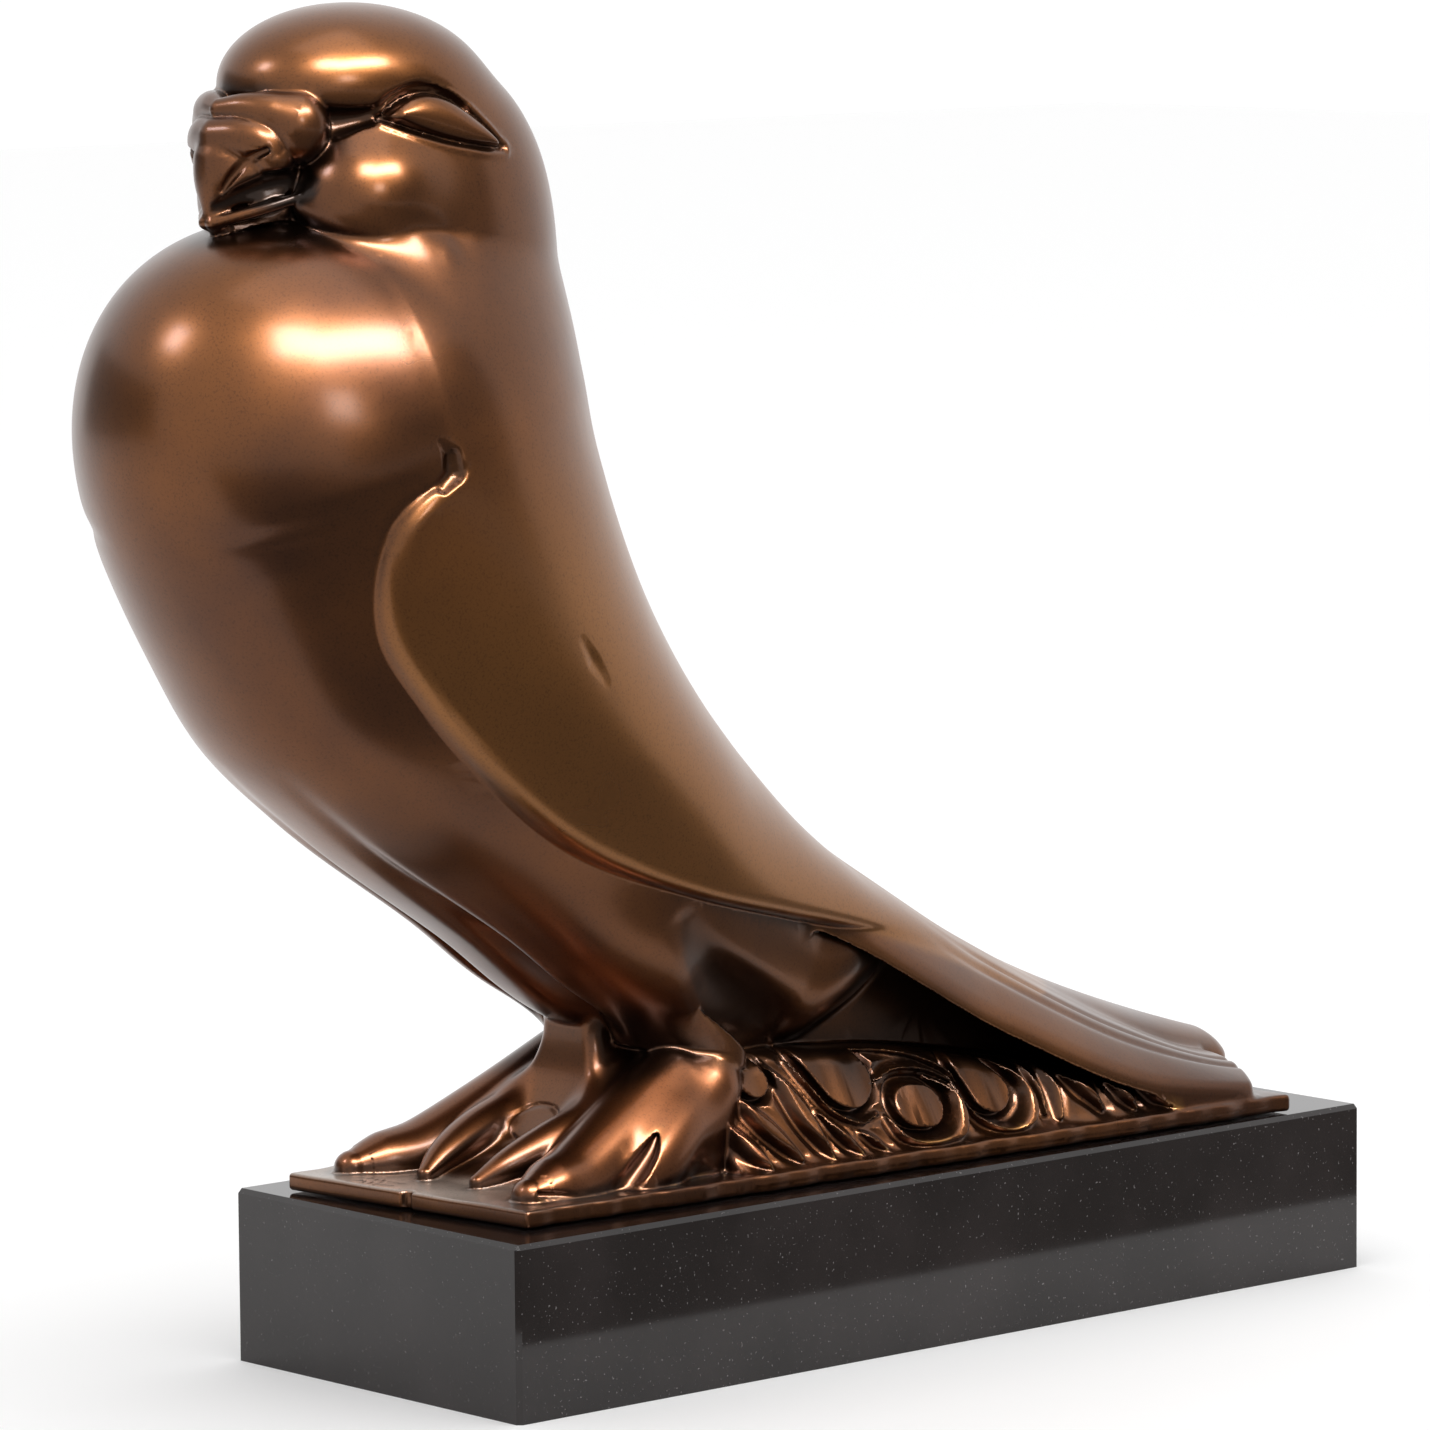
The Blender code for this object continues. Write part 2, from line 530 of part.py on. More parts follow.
def make_casting():
    """Bird, feet, bank and plate as one closed bronze skin, thinned to plain facets."""
    points, faces = skin_of(casting, FIELD_LOW, FIELD_HIGH, CELL)
    points = lean_front(points) * UNIT
    points[:, 1] += FIGURE_SETBACK + PLATE_FRONT_MARGIN - PLINTH_LENGTH / 2
    points[:, 2] += PLINTH_HEIGHT + SEAT_GAP + PLATE_THICKNESS
    mesh = bpy.data.meshes.new("bronze_pigeon")
    mesh.from_pydata(points, [], faces)
    mesh.update()
    mesh.shade_smooth()
    piece = add_object("bronze_pigeon", mesh, finish("brown bronze", **BRONZE))
    thin = piece.modifiers.new("thin", "DECIMATE")
    thin.ratio = CASTING_TRIANGLES / (2.0 * len(faces))
    return piece


def main():
    """Clear the scene and build the two pieces."""
    for item in list(bpy.data.objects):
        bpy.data.objects.remove(item, do_unlink=True)
    make_plinth()
    make_casting()


main()
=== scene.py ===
"""Looks of a bronze pigeon on a polished black stone plinth.

The pigeon is a field: a function that is negative inside the bronze and positive outside it. Each
form of the bird is a method that works out its own part of that field, in figure millimetres whose
zero is the top of the base plate. The bird faces -Y and +Z is up. SEAT is the height of the plate's
top over the floor, SLEW how far the front of the casting is turned for each millimetre aside, and
BEND_REACH how near a smooth strand is measured exactly.
"""

import logging
import math
from dataclasses import dataclass, field
from enum import Enum
from typing import Callable, Sequence

import bmesh
import bpy
import numpy as np
import openvdb
from mathutils import Matrix, Vector


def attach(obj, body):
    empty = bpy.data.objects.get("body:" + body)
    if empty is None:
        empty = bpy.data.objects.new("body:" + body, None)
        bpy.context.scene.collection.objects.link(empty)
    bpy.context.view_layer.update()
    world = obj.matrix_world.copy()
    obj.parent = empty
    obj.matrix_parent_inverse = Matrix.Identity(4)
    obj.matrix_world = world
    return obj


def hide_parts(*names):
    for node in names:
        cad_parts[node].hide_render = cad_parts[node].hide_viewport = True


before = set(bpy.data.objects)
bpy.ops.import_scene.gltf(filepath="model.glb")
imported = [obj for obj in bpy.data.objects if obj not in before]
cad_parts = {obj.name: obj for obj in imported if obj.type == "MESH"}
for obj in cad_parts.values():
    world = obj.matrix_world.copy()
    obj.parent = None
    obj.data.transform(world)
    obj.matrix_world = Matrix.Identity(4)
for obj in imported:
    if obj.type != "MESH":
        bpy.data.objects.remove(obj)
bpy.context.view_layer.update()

Array = np.ndarray
Field = Callable[[Array, Array, Array], Array]
Point = tuple[float, float, float]
Colour = tuple[float, float, float, float]

MM = 0.001
SEAT = 33.3
SLEW = 0.1
BEND_REACH = 4.0
log = logging.getLogger("bronze_pigeon")


# Arithmetic of the field


def curve(u: Array, stations: Sequence[float], values: Sequence[float]) -> Array:
    """Read a smooth curve through the values at the stations, held level past both ends.

    Args:
        u: Places along the curve.
        stations: Places with a known value, in rising order.
        values: The values there.

    Returns:
        The value at each place.
    """
    at = np.asarray(stations, float)
    value = np.asarray(values, float)
    slope = np.gradient(value, at)
    u = np.clip(u, at[0], at[-1])
    i = np.clip(np.searchsorted(at, u, side="right") - 1, 0, len(at) - 2)
    span = at[i + 1] - at[i]
    s = (u - at[i]) / span
    start = ((1 + 2 * s) * value[i] + s * span * slope[i]) * (1 - s) ** 2
    end = ((3 - 2 * s) * value[i + 1] - (1 - s) * span * slope[i + 1]) * s * s
    return start + end


def ease(u: Array, low: float, high: float) -> Array:
    """Rise smoothly from 0 at low to 1 at high."""
    s = np.clip((u - low) / (high - low), 0.0, 1.0)
    return s * s * (3 - 2 * s)


def bell(u: Array, width: float) -> Array:
    """Bell curve of the given half width, 1 at zero."""
    return np.exp(-((u / width) ** 2))


def join(a: Array, b: Array, blend: float | Array) -> Array:
    """Union of two forms with a fillet of the given width between them."""
    near = np.maximum(blend - np.abs(a - b), 0.0) / blend
    return np.minimum(a, b) - near * near * blend / 4


def keep(a: Array, b: Array, blend: float) -> Array:
    """Part of form a that is also inside form b, with a rounded corner."""
    return -join(-a, -b, blend)


def ellipsoid(x: Array, y: Array, z: Array, centre: Point, radii: Point, tilt: float = 0.0) -> Array:
    """Ellipsoid turned about X.

    Args:
        x, y, z: Places to measure.
        centre: Middle of the ellipsoid.
        radii: Its three half sizes.
        tilt: Turn about X in radians; a positive one lifts its rear.

    Returns:
        Distance from its skin, negative inside.
    """
    dy = y - centre[1]
    dz = z - centre[2]
    dy, dz = dy * math.cos(tilt) + dz * math.sin(tilt), dz * math.cos(tilt) - dy * math.sin(tilt)
    u, v, w = (x - centre[0]) / radii[0], dy / radii[1], dz / radii[2]
    q = np.sqrt(u * u + v * v + w * w) + 1e-9
    g = np.sqrt((u / radii[0]) ** 2 + (v / radii[1]) ** 2 + (w / radii[2]) ** 2) + 1e-9
    return q * (q - 1) / g


def section(x: Array, s: Array, middle: Array, depth: Array, width: Array) -> Array:
    """Elliptical cross-section of a body with that middle, half depth and half width.

    Args:
        x, s: Places across the body, and their heights across the spine.
        middle, depth, width: Middle height, half depth and half width of the body there.

    Returns:
        Distance from its skin, negative inside.
    """
    u, v = x / width, (s - middle) / depth
    q = np.sqrt(u * u + v * v) + 1e-9
    g = np.sqrt((u / width) ** 2 + (v / depth) ** 2) + 1e-9
    return q * (q - 1) / g


def strand(x: Array, y: Array, z: Array, points: Sequence[Point], radii: Sequence[float],
           bends: bool = False) -> Array:
    """Round strand through the points.

    Args:
        x, y, z: Places to measure.
        points: Corners of the strand's middle line.
        radii: Its radius at each corner.
        bends: Whether the middle line and the radius run smoothly through the corners.

    Returns:
        Distance from its skin, negative inside.
    """
    rows = np.column_stack([np.asarray(points, float), radii])
    found, station = None, None
    for i, (a, b) in enumerate(zip(rows[:-1], rows[1:])):
        run = b - a
        h = ((x - a[0]) * run[0] + (y - a[1]) * run[1] + (z - a[2]) * run[2]) / (run[:3] ** 2).sum()
        h = np.clip(h, 0.0, 1.0)
        far = np.sqrt((x - a[0] - h * run[0]) ** 2 + (y - a[1] - h * run[1]) ** 2
                      + (z - a[2] - h * run[2]) ** 2)
        piece = far - (a[3] + run[3] * h)
        if found is None:
            found, station = piece, h
        else:
            station = np.where(piece < found, i + h, station)
            found = np.minimum(found, piece)
    near = found < BEND_REACH
    if bends and near.any():
        found[near] = follow(x[near], y[near], z[near], rows, station[near])
    return found


def follow(x: Array, y: Array, z: Array, rows: Array, station: Array) -> Array:
    """Measure to the smooth line through the rows, near a first guess of its station.

    Args:
        x, y, z: Places to measure.
        rows: Place and radius of the line at whole stations.
        station: Guess of the nearest station of each place.

    Returns:
        Distance from the line less its radius.
    """
    around = np.vstack([2 * rows[0] - rows[1], rows, 2 * rows[-1] - rows[-2]])
    a, b, c, d = around[:-3], around[1:-2], around[2:-1], around[3:]
    terms = 0.5 * np.stack([2 * b, c - a, 2 * a - 5 * b + 4 * c - d, 3 * b - a - 3 * c + d])
    here = np.stack([x, y, z])
    for _ in range(3):
        i = np.clip(station.astype(int), 0, len(rows) - 2)
        h = station - i
        k = terms[:, i].transpose(0, 2, 1)
        place = k[0] + h * (k[1] + h * (k[2] + h * k[3]))
        run = k[1, :3] + h * (2 * k[2, :3] + 3 * h * k[3, :3])
        curl = 2 * k[2, :3] + 6 * h * k[3, :3]
        away = place[:3] - here
        length = (run ** 2).sum(0)
        rate = np.maximum(length + (away * curl).sum(0), 0.4 * length)
        station = np.clip(station - (away * run).sum(0) / rate, 0, len(rows) - 1)
    return np.sqrt((away ** 2).sum(0)) - np.maximum(place[3], 0.05)


def only(near: Array, form: Field, x: Array, y: Array, z: Array) -> Array:
    """Work out a form only at the places marked near; it counts as far from all others.

    Args:
        near: Which places the form can reach.
        form: The form's field.
        x, y, z: Places to measure.

    Returns:
        Distance from its skin, negative inside.
    """
    found = np.full(x.shape, 30.0)
    if near.any():
        found[near] = form(x[near], y[near], z[near])
    return found


def raised(u: Array, v: Array, line: Sequence[tuple[float, float, float]], height: float,
           slope: float) -> tuple[Array, Array]:
    """Raised mark on a face along a smooth line.

    Args:
        u, v: Places on the face.
        line: Place and half width of the mark at each of its points.
        height: How far it stands up.
        slope: Width of its sloping edge.

    Returns:
        Height of the mark at each place, and the distance outside it.
    """
    points = [(a, b, 0.0) for a, b, _ in line]
    away = strand(u, v, np.zeros_like(u), points, [width for _, _, width in line], True)
    return height * (1 - ease(away, -slope, 0.3)), away


# Forms of the bird


@dataclass
class Spine:
    """Middle line of the body: a parabola from the neck through the breast to the tail."""

    neck: tuple[float, float] = (-110.0, 166.7)
    bend: tuple[float, float] = (-110.0, 26.7)
    tail: tuple[float, float] = (80.0, 8.7)

    def at(self, t: Array) -> tuple[list[Array], list[Array]]:
        """Point and direction of the spine at station t.

        Args:
            t: Stations along the spine.

        Returns:
            The places and the directions, each as Y and Z.
        """
        ends = list(zip(self.neck, self.bend, self.tail))
        middle = [(1 - t) ** 2 * a + 2 * t * (1 - t) * b + t * t * c for a, b, c in ends]
        run = [2 * ((1 - t) * (b - a) + t * (c - b)) for a, b, c in ends]
        return middle, run

    def locate(self, y: Array, z: Array) -> tuple[Array, Array, Array]:
        """Find the nearest station of each place.

        Args:
            y, z: Places seen from the side.

        Returns:
            Station along the spine, height across it with the back positive, and the spine's
            length for a whole unit of station there.
        """
        curl = [2.0 * (a - 2.0 * b + c) for a, b, c in zip(self.neck, self.bend, self.tail)]
        t = np.clip((167 - z) / 230 + (y + 110) / 420, -0.2, 1.2)
        for _ in range(5):
            middle, run = self.at(t)
            dy, dz = y - middle[0], z - middle[1]
            miss = dy * run[0] + dz * run[1]
            rate = dy * curl[0] + dz * curl[1] - (run[0] ** 2 + run[1] ** 2)
            t = np.clip(t - miss / np.minimum(rate, -1e3), -0.3, 1.3)
        middle, run = self.at(t)
        length = np.hypot(run[0], run[1])
        s = ((z - middle[1]) * run[0] - (y - middle[0]) * run[1]) / length
        return t, s, length


@dataclass
class Plumage:
    """Breast and folded wings, as sections at stations along the spine."""

    body_at: Sequence[float] = (0.0, 0.12, 0.24, 0.30, 0.36, 0.48, 0.60, 0.75, 0.90, 1.05)
    body_middle: Sequence[float] = (0.8, -1.7, 0.5, 1.3, 3.1, 5.4, 3.7, 3.9, -0.1, -7.0)
    body_depth: Sequence[float] = (48.6, 43.9, 41.4, 39.6, 36.1, 30.0, 27.7, 18.2, 11.5, 4.5)
    body_width: Sequence[float] = (39.0, 40.0, 40.5, 40.2, 39.5, 37.0, 33.0, 26.0, 17.0, 8.0)
    wing_at: Sequence[float] = (0.0, 0.12, 0.24, 0.36, 0.48, 0.60, 0.655, 0.71, 0.77, 0.82, 0.87, 0.92,
                                1.06)
    wing_middle: Sequence[float] = (0.8, -1.7, 0.5, 3.1, 5.4, 3.7, 6.6, 9.2, 9.65, 8.0, 5.6, 2.1, -8.0)
    wing_depth: Sequence[float] = (48.6, 43.9, 41.4, 36.1, 30.0, 27.0, 20.3, 14.0, 10.0, 8.0, 6.9, 6.8, 6.1)
    wing_width: Sequence[float] = (39.0, 40.0, 40.5, 39.5, 37.0, 33.0, 30.2, 27.1, 23.4, 20.5, 17.7,
                                   15.0, 9.5)
    edge_at: Sequence[float] = (0.12, 0.145, 0.156, 0.162, 0.172, 0.185, 0.20, 0.23, 0.29, 0.35, 0.44,
                                0.54, 0.63, 0.71, 0.77, 0.82, 0.87, 0.92, 1.05)
    edge_height: Sequence[float] = (-8.0, -8.0, -9.5, -14.0, -18.0, -20.3, -22.0, -23.6, -21.2, -17.1,
                                    -11.0, -1.8, 5.4, 9.4, 9.65, 8.2, 5.9, 2.2, -8.0)
    back_at: Sequence[float] = (0.43, 0.50, 0.57, 0.65, 0.72, 0.85, 0.95, 1.05)
    back_width: Sequence[float] = (19.0, 17.0, 13.0, 7.0, 1.5, 1.0, 1.2, 2.0)
    keel_at: float = 8.5
    neck_scale: float = 280.0
    rump: float = 0.72
    rump_scale: float = 330.0
    tips: float = 1.042
    tips_scale: float = 370.0
    hollow_depth: float = 2.4
    wing_lift: float = 0.3
    parting_depth: float = 1.3

    def shoulder(self, t: Array) -> Array:
        """Share of the section's full size: the body closes in a dome at the neck."""
        return (1 - np.clip((0.18 - t) / 0.175, 0, 0.999) ** 2.5) ** 0.4

    def edge_distance(self, t: Array, s: Array, length: Array) -> Array:
        """Distance across the wing's edge line, positive on the wing.

        Args:
            t, s: Stations and heights across the spine.
            length: The spine's length for a whole unit of station.

        Returns:
            The distance, in millimetres.
        """
        step = 0.01
        ahead = curve(t + step, self.edge_at, self.edge_height)
        slope = (ahead - curve(t - step, self.edge_at, self.edge_height)) / (2 * step)
        return (s - curve(t, self.edge_at, self.edge_height)) / np.sqrt(1 + (slope / length) ** 2)

    def breast(self, x: Array, t: Array, s: Array, edge: Array) -> Array:
        """Body without its wings: hollowed along the wing's edge and grooved beside the thighs.

        Args:
            x: Places across the body.
            t, s: Their stations and heights across the spine.
            edge: Their distances across the wing's edge line.

        Returns:
            Distance from its skin, negative inside.
        """
        full = self.shoulder(t)
        found = section(x, s, curve(t, self.body_at, self.body_middle),
                        curve(t, self.body_at, self.body_depth) * full,
                        curve(t, self.body_at, self.body_width) * full)
        found = keep(found, -t * self.neck_scale, 4)
        hollow = bell(np.minimum(edge, 0), 10) * ease(-edge, -3, 0.5)
        found = found + self.hollow_depth * hollow * ease(t, 0.11, 0.20) * ease(x, 6, 20)
        found = found + 2.6 * ease(t, 0.52, 0.68)
        groove = bell(x - self.keel_at, 2.4) * ease(-s, 0, 12)
        found = found + curve(t, (0.3, 0.4, 0.5, 0.6), (0, 1.2, 3.5, 5)) * groove
        return keep(found, (t - self.rump) * self.rump_scale, 10)

    def wing(self, x: Array, t: Array, s: Array, edge: Array) -> Array:
        """Folded wings: raised above the breast, parted on the back and rounded at the tips.

        Args:
            x: Places across the body.
            t, s: Their stations and heights across the spine.
            edge: Their distances across the wing's edge line.

        Returns:
            Distance from its skin, negative inside.
        """
        full = self.shoulder(t)
        found = section(x, s, curve(t, self.wing_at, self.wing_middle),
                        curve(t, self.wing_at, self.wing_depth) * full,
                        curve(t, self.wing_at, self.wing_width) * full)
        found = found - self.wing_lift * ease(t, 0.12, 0.15)
        inner = 6 * (1 - ease(x, 3, 9)) * ease(t, 0.6, 0.7)
        found = keep(found, -edge - inner, 3.0)
        found = keep(found, -t * self.neck_scale, 4)
        found = keep(found, (t - self.tips) * self.tips_scale, 5)
        bare = 1 - ease(x - curve(t, self.back_at, self.back_width), -1.2, 1.0)
        found = found + self.parting_depth * bare * ease(s, 2, 10) * ease(t, 0.43, 0.52)
        parting = 1.4 * ease(t, 0.72, 0.95) + (t - 0.95) * 8 - x
        return keep(found, parting - 8 * (1 - ease(t, 0.7, 0.9)), 1.5)

    def notch(self, x: Array, y: Array, z: Array) -> Array:
        """Short cleft where the wing leaves the shoulder."""
        line = ((38.9, -115, 129.8), (39.3, -113.2, 127.6), (39.5, -113, 125), (39, -114.9, 122.9))
        return strand(x, y, z, line, (0.3, 1.3, 1.6, 0.9))

    def dent(self, x: Array, y: Array, z: Array) -> Array:
        """Shallow dent in the wing's face."""
        line = ((41.1, -86.6, 95.9), (40.9, -84.1, 92.3), (40.6, -81.3, 88.8))
        return strand(x, y, z, line, (0.5, 1.1, 0.5))

    def vent(self, x: Array, y: Array, z: Array) -> Array:
        """Rounded underside of the body between the thighs and the tail.

        Args:
            x, y, z: Places to measure.

        Returns:
            Distance from its skin, negative inside.
        """
        found = ellipsoid(x, y, z, (0, -24, 33), (27, 37, 16.5), 0.22)
        found = keep(found, (x - 15) * 0.75 - (y + 30) * 0.66 - 2.5, 8)
        return keep(found, (z + 0.45 * y - 37) * 0.9, 1)


@dataclass
class Head:
    """Domed head with a short hooked beak, a rolled cere and closed almond eyes."""

    skull_heights: Sequence[float] = (60, 100, 125, 137.7, 150.7, 163.7, 199)
    skull_widths: Sequence[float] = (20, 25, 27, 28, 27, 25.5, 25)
    skull_depths: Sequence[float] = (20, 25, 28, 29.5, 30, 30, 29.8)
    skull_middle: float = -94.6
    skull_power: float = 2.3
    face_depth: float = 0.76
    dome_base: float = 158.0
    dome_height: float = 35.5
    eye_corner: tuple[float, float] = (-109.1, 181.2)
    eye_run: tuple[float, float] = (0.972, -0.235)
    eye_length: float = 22.5
    eye_bulge: float = 1.5

    def skull(self, x: Array, y: Array, z: Array) -> Array:
        """Column of the neck with the domed head, flatter at the face than behind.

        Args:
            x, y, z: Places to measure.

        Returns:
            Distance from its skin, negative inside.
        """
        width = curve(z, self.skull_heights, self.skull_widths)
        depth = curve(z, self.skull_heights, self.skull_depths)
        depth = np.where(y < self.skull_middle, depth * self.face_depth, depth)
        flat = np.sqrt((x / width) ** 2 + ((y - self.skull_middle) / depth) ** 2)
        rise = np.maximum(z - self.dome_base, 0) / self.dome_height
        q = (flat ** self.skull_power + rise ** self.skull_power) ** (1 / self.skull_power)
        return keep((q - 1) * 26, 95 - z, 20)

    def along_eye(self, y: Array, z: Array) -> tuple[Array, Array]:
        """Place along the eye from its front corner, and the height across it.

        Args:
            y, z: Places seen from the side.

        Returns:
            The two measures, in millimetres.
        """
        run, rise = self.eye_run
        dy, dz = y - self.eye_corner[0], z - self.eye_corner[1]
        return dy * run + dz * rise, dz * run - dy * rise

    def lids(self, w: Array) -> tuple[Array, Array]:
        """Heights of the upper and lower lid at a share of the eye's length."""
        v = w ** 0.75
        return 23.6 * v * (1 - v), -4 * w * (1 - w)

    def eye_distance(self, y: Array, z: Array) -> Array:
        """Distance outside the almond outline of the eye, seen from the side.

        Args:
            y, z: Places seen from the side.

        Returns:
            The distance, negative inside the outline.
        """
        p, q = self.along_eye(y, z)
        upper, lower = self.lids(np.clip(p / self.eye_length, 0, 1))
        d = np.maximum(q - upper, lower - q)
        past = np.maximum(np.maximum(-p, p - self.eye_length), 0)
        return np.sqrt(np.maximum(d, 0) ** 2 + past ** 2) + np.minimum(d, 0)

    def face(self, x: Array, y: Array, z: Array) -> Array:
        """Skull with its forehead, cheek, chin ridge, brow and closed eye.

        Args:
            x, y, z: Places to measure.

        Returns:
            Distance from its skin, negative inside.
        """
        found = join(self.skull(x, y, z), ellipsoid(x, y, z, (0, -103, 186.5), (19, 22.1, 13.2)), 6)
        found = join(found, ellipsoid(x, y, z, (12.5, -108, 168.5), (12.5, 13, 12)), 5)
        chin = ((11, -119.5, 167.6), (15.5, -117, 165.8), (19.8, -113, 163.3), (22.4, -107.8, 161.3),
                (24.2, -103.5, 159.8))
        found = join(found, strand(x, y, z, chin, (1.4, 1.8, 1.7, 1.3, 0.6), True), 3.5)
        brow = ((0, -126.5, 181.5), (9, -122.5, 181), (13, -117, 180.8), (15.5, -112.5, 181.4),
                (17.4, -109.9, 182.2), (18.2, -107, 184.5), (18.6, -103, 186.1), (18.9, -98.6, 185.7),
                (19.8, -93.8, 183.0))
        depth = (2.8, 2.8, 2.2, 1.4, 1.0, 0.8, 0.6, 0.4, 0.15)
        found = keep(found, -strand(x, y, z, brow, depth, True), 1.8)
        return found + ease(x, 8, 12) * self.eyelids(y, z)

    def eyelids(self, y: Array, z: Array) -> Array:
        """Relief of the closed eye: its bulge, the crease round it and the thin rims of its lids.

        Args:
            y, z: Places seen from the side.

        Returns:
            Depth of the relief, negative where it stands out.
        """
        p, q = self.along_eye(y, z)
        w = np.clip(p / self.eye_length, 0, 1)
        upper, lower = self.lids(w)
        inside = 4 * (upper - q) * (q - lower) / ((upper - lower) ** 2 + 1.5)
        outside = self.eye_distance(y, z)
        crease = 0.5 * bell(outside, 0.55) - 0.22 * bell(outside - 1.3, 0.6)
        bulge = self.eye_bulge * np.clip(inside, 0, 1) * ease(p, 0, 2) * ease(self.eye_length - p, 0, 2)
        return crease - bulge

    def mouth(self, x: Array, y: Array, z: Array) -> Array:
        """Hollow between the bill and the jaw."""
        line = ((2.4, -132, 167.3), (5.4, -129.6, 168.8), (8.8, -127, 169.9), (10.8, -123.5, 170.6),
                (12.4, -120.5, 170.3), (13.6, -118.5, 169.3))
        return strand(x, y, z, line, (0.5, 1.5, 2.5, 2.7, 2.2, 1.1), True)

    def beak(self, x: Array, y: Array, z: Array) -> Array:
        """Short beak: two rolled lobes of the cere, the hooked upper bill, the mouth and the jaw.

        Args:
            x, y, z: Places to measure.

        Returns:
            Distance from its skin, negative inside.
        """
        upper = ((0, -128.8, 183), (4, -126.8, 183.2), (7.5, -124.2, 182.4), (9.6, -121.2, 181))
        lower = ((0, -129.3, 178.6), (4, -127.6, 178.6), (7, -125.6, 177.6), (8.2, -124.4, 175.2))
        found = join(strand(x, y, z, upper, (1.8, 2.5, 3.5, 4.6), True),
                     ellipsoid(x, y, z, (10, -120.3, 179.9), (4.9, 4.9, 5.8)), 1.5)
        found = join(found, strand(x, y, z, lower, (3.3, 3.5, 3.7, 3.4), True), 0.5)
        bill = join(ellipsoid(x, y, z, (0, -122.5, 172.5), (9.4, 8.6, 7)),
                    strand(x, y, z, ((0, -129.2, 175), (0, -129.9, 169), (0, -131.1, 164.8)),
                           (3.9, 2.9, 1.2), True), 4)
        found = join(found, bill, 0.9)
        found = join(found, ellipsoid(x, y, z, (0, -116, 178), (12, 9, 7)), 0.6)
        found = keep(found, -self.mouth(x, y, z), 0.8)
        slit = ((3.3, -131.3, 169.9), (4.9, -130.3, 172.4), (7.2, -128.9, 175.0), (9.9, -127.2, 176.5))
        found = keep(found, -strand(x, y, z, slit, (0.4, 0.75, 0.85, 0.6), True), 0.6)
        found = join(found, strand(x, y, z, ((0, -118, 163), (0, -128.5, 163.6)), (8, 2.4)), 1.5)
        lip = ((1.2, -131.6, 164.6), (4.5, -128.8, 165.8), (7.8, -125, 167.2), (10.6, -120.8, 168.8))
        return join(found, strand(x, y, z, lip, (0.9, 1.0, 1.0, 0.8), True), 1.2)


class Toe(Enum):
    """Toes of one foot: middle line and radii."""

    INNER = (((10.5, -46, 15), (10.2, -58, 9.6), (9.2, -69, 6.2), (7.8, -77, 3.5), (6.2, -82.8, 1)),
             (5.0, 4.4, 4.0, 3.0, 1.5))
    MIDDLE = (((14, -46, 15), (16.5, -60, 7), (18.5, -72, 1.8), (20.2, -80, 1), (21, -85.4, 0.8)),
              (6.5, 7.0, 6.5, 5.3, 3.0))
    OUTER = (((17.5, -42, 13), (19.5, -50, 8), (21.3, -57, 3.5), (22.4, -62, 1)), (5.0, 6.5, 6.6, 5.2))

    def shape(self, x: Array, y: Array, z: Array) -> Array:
        """Field of this toe."""
        line, radii = self.value
        return strand(x, y, z, line, radii, True)


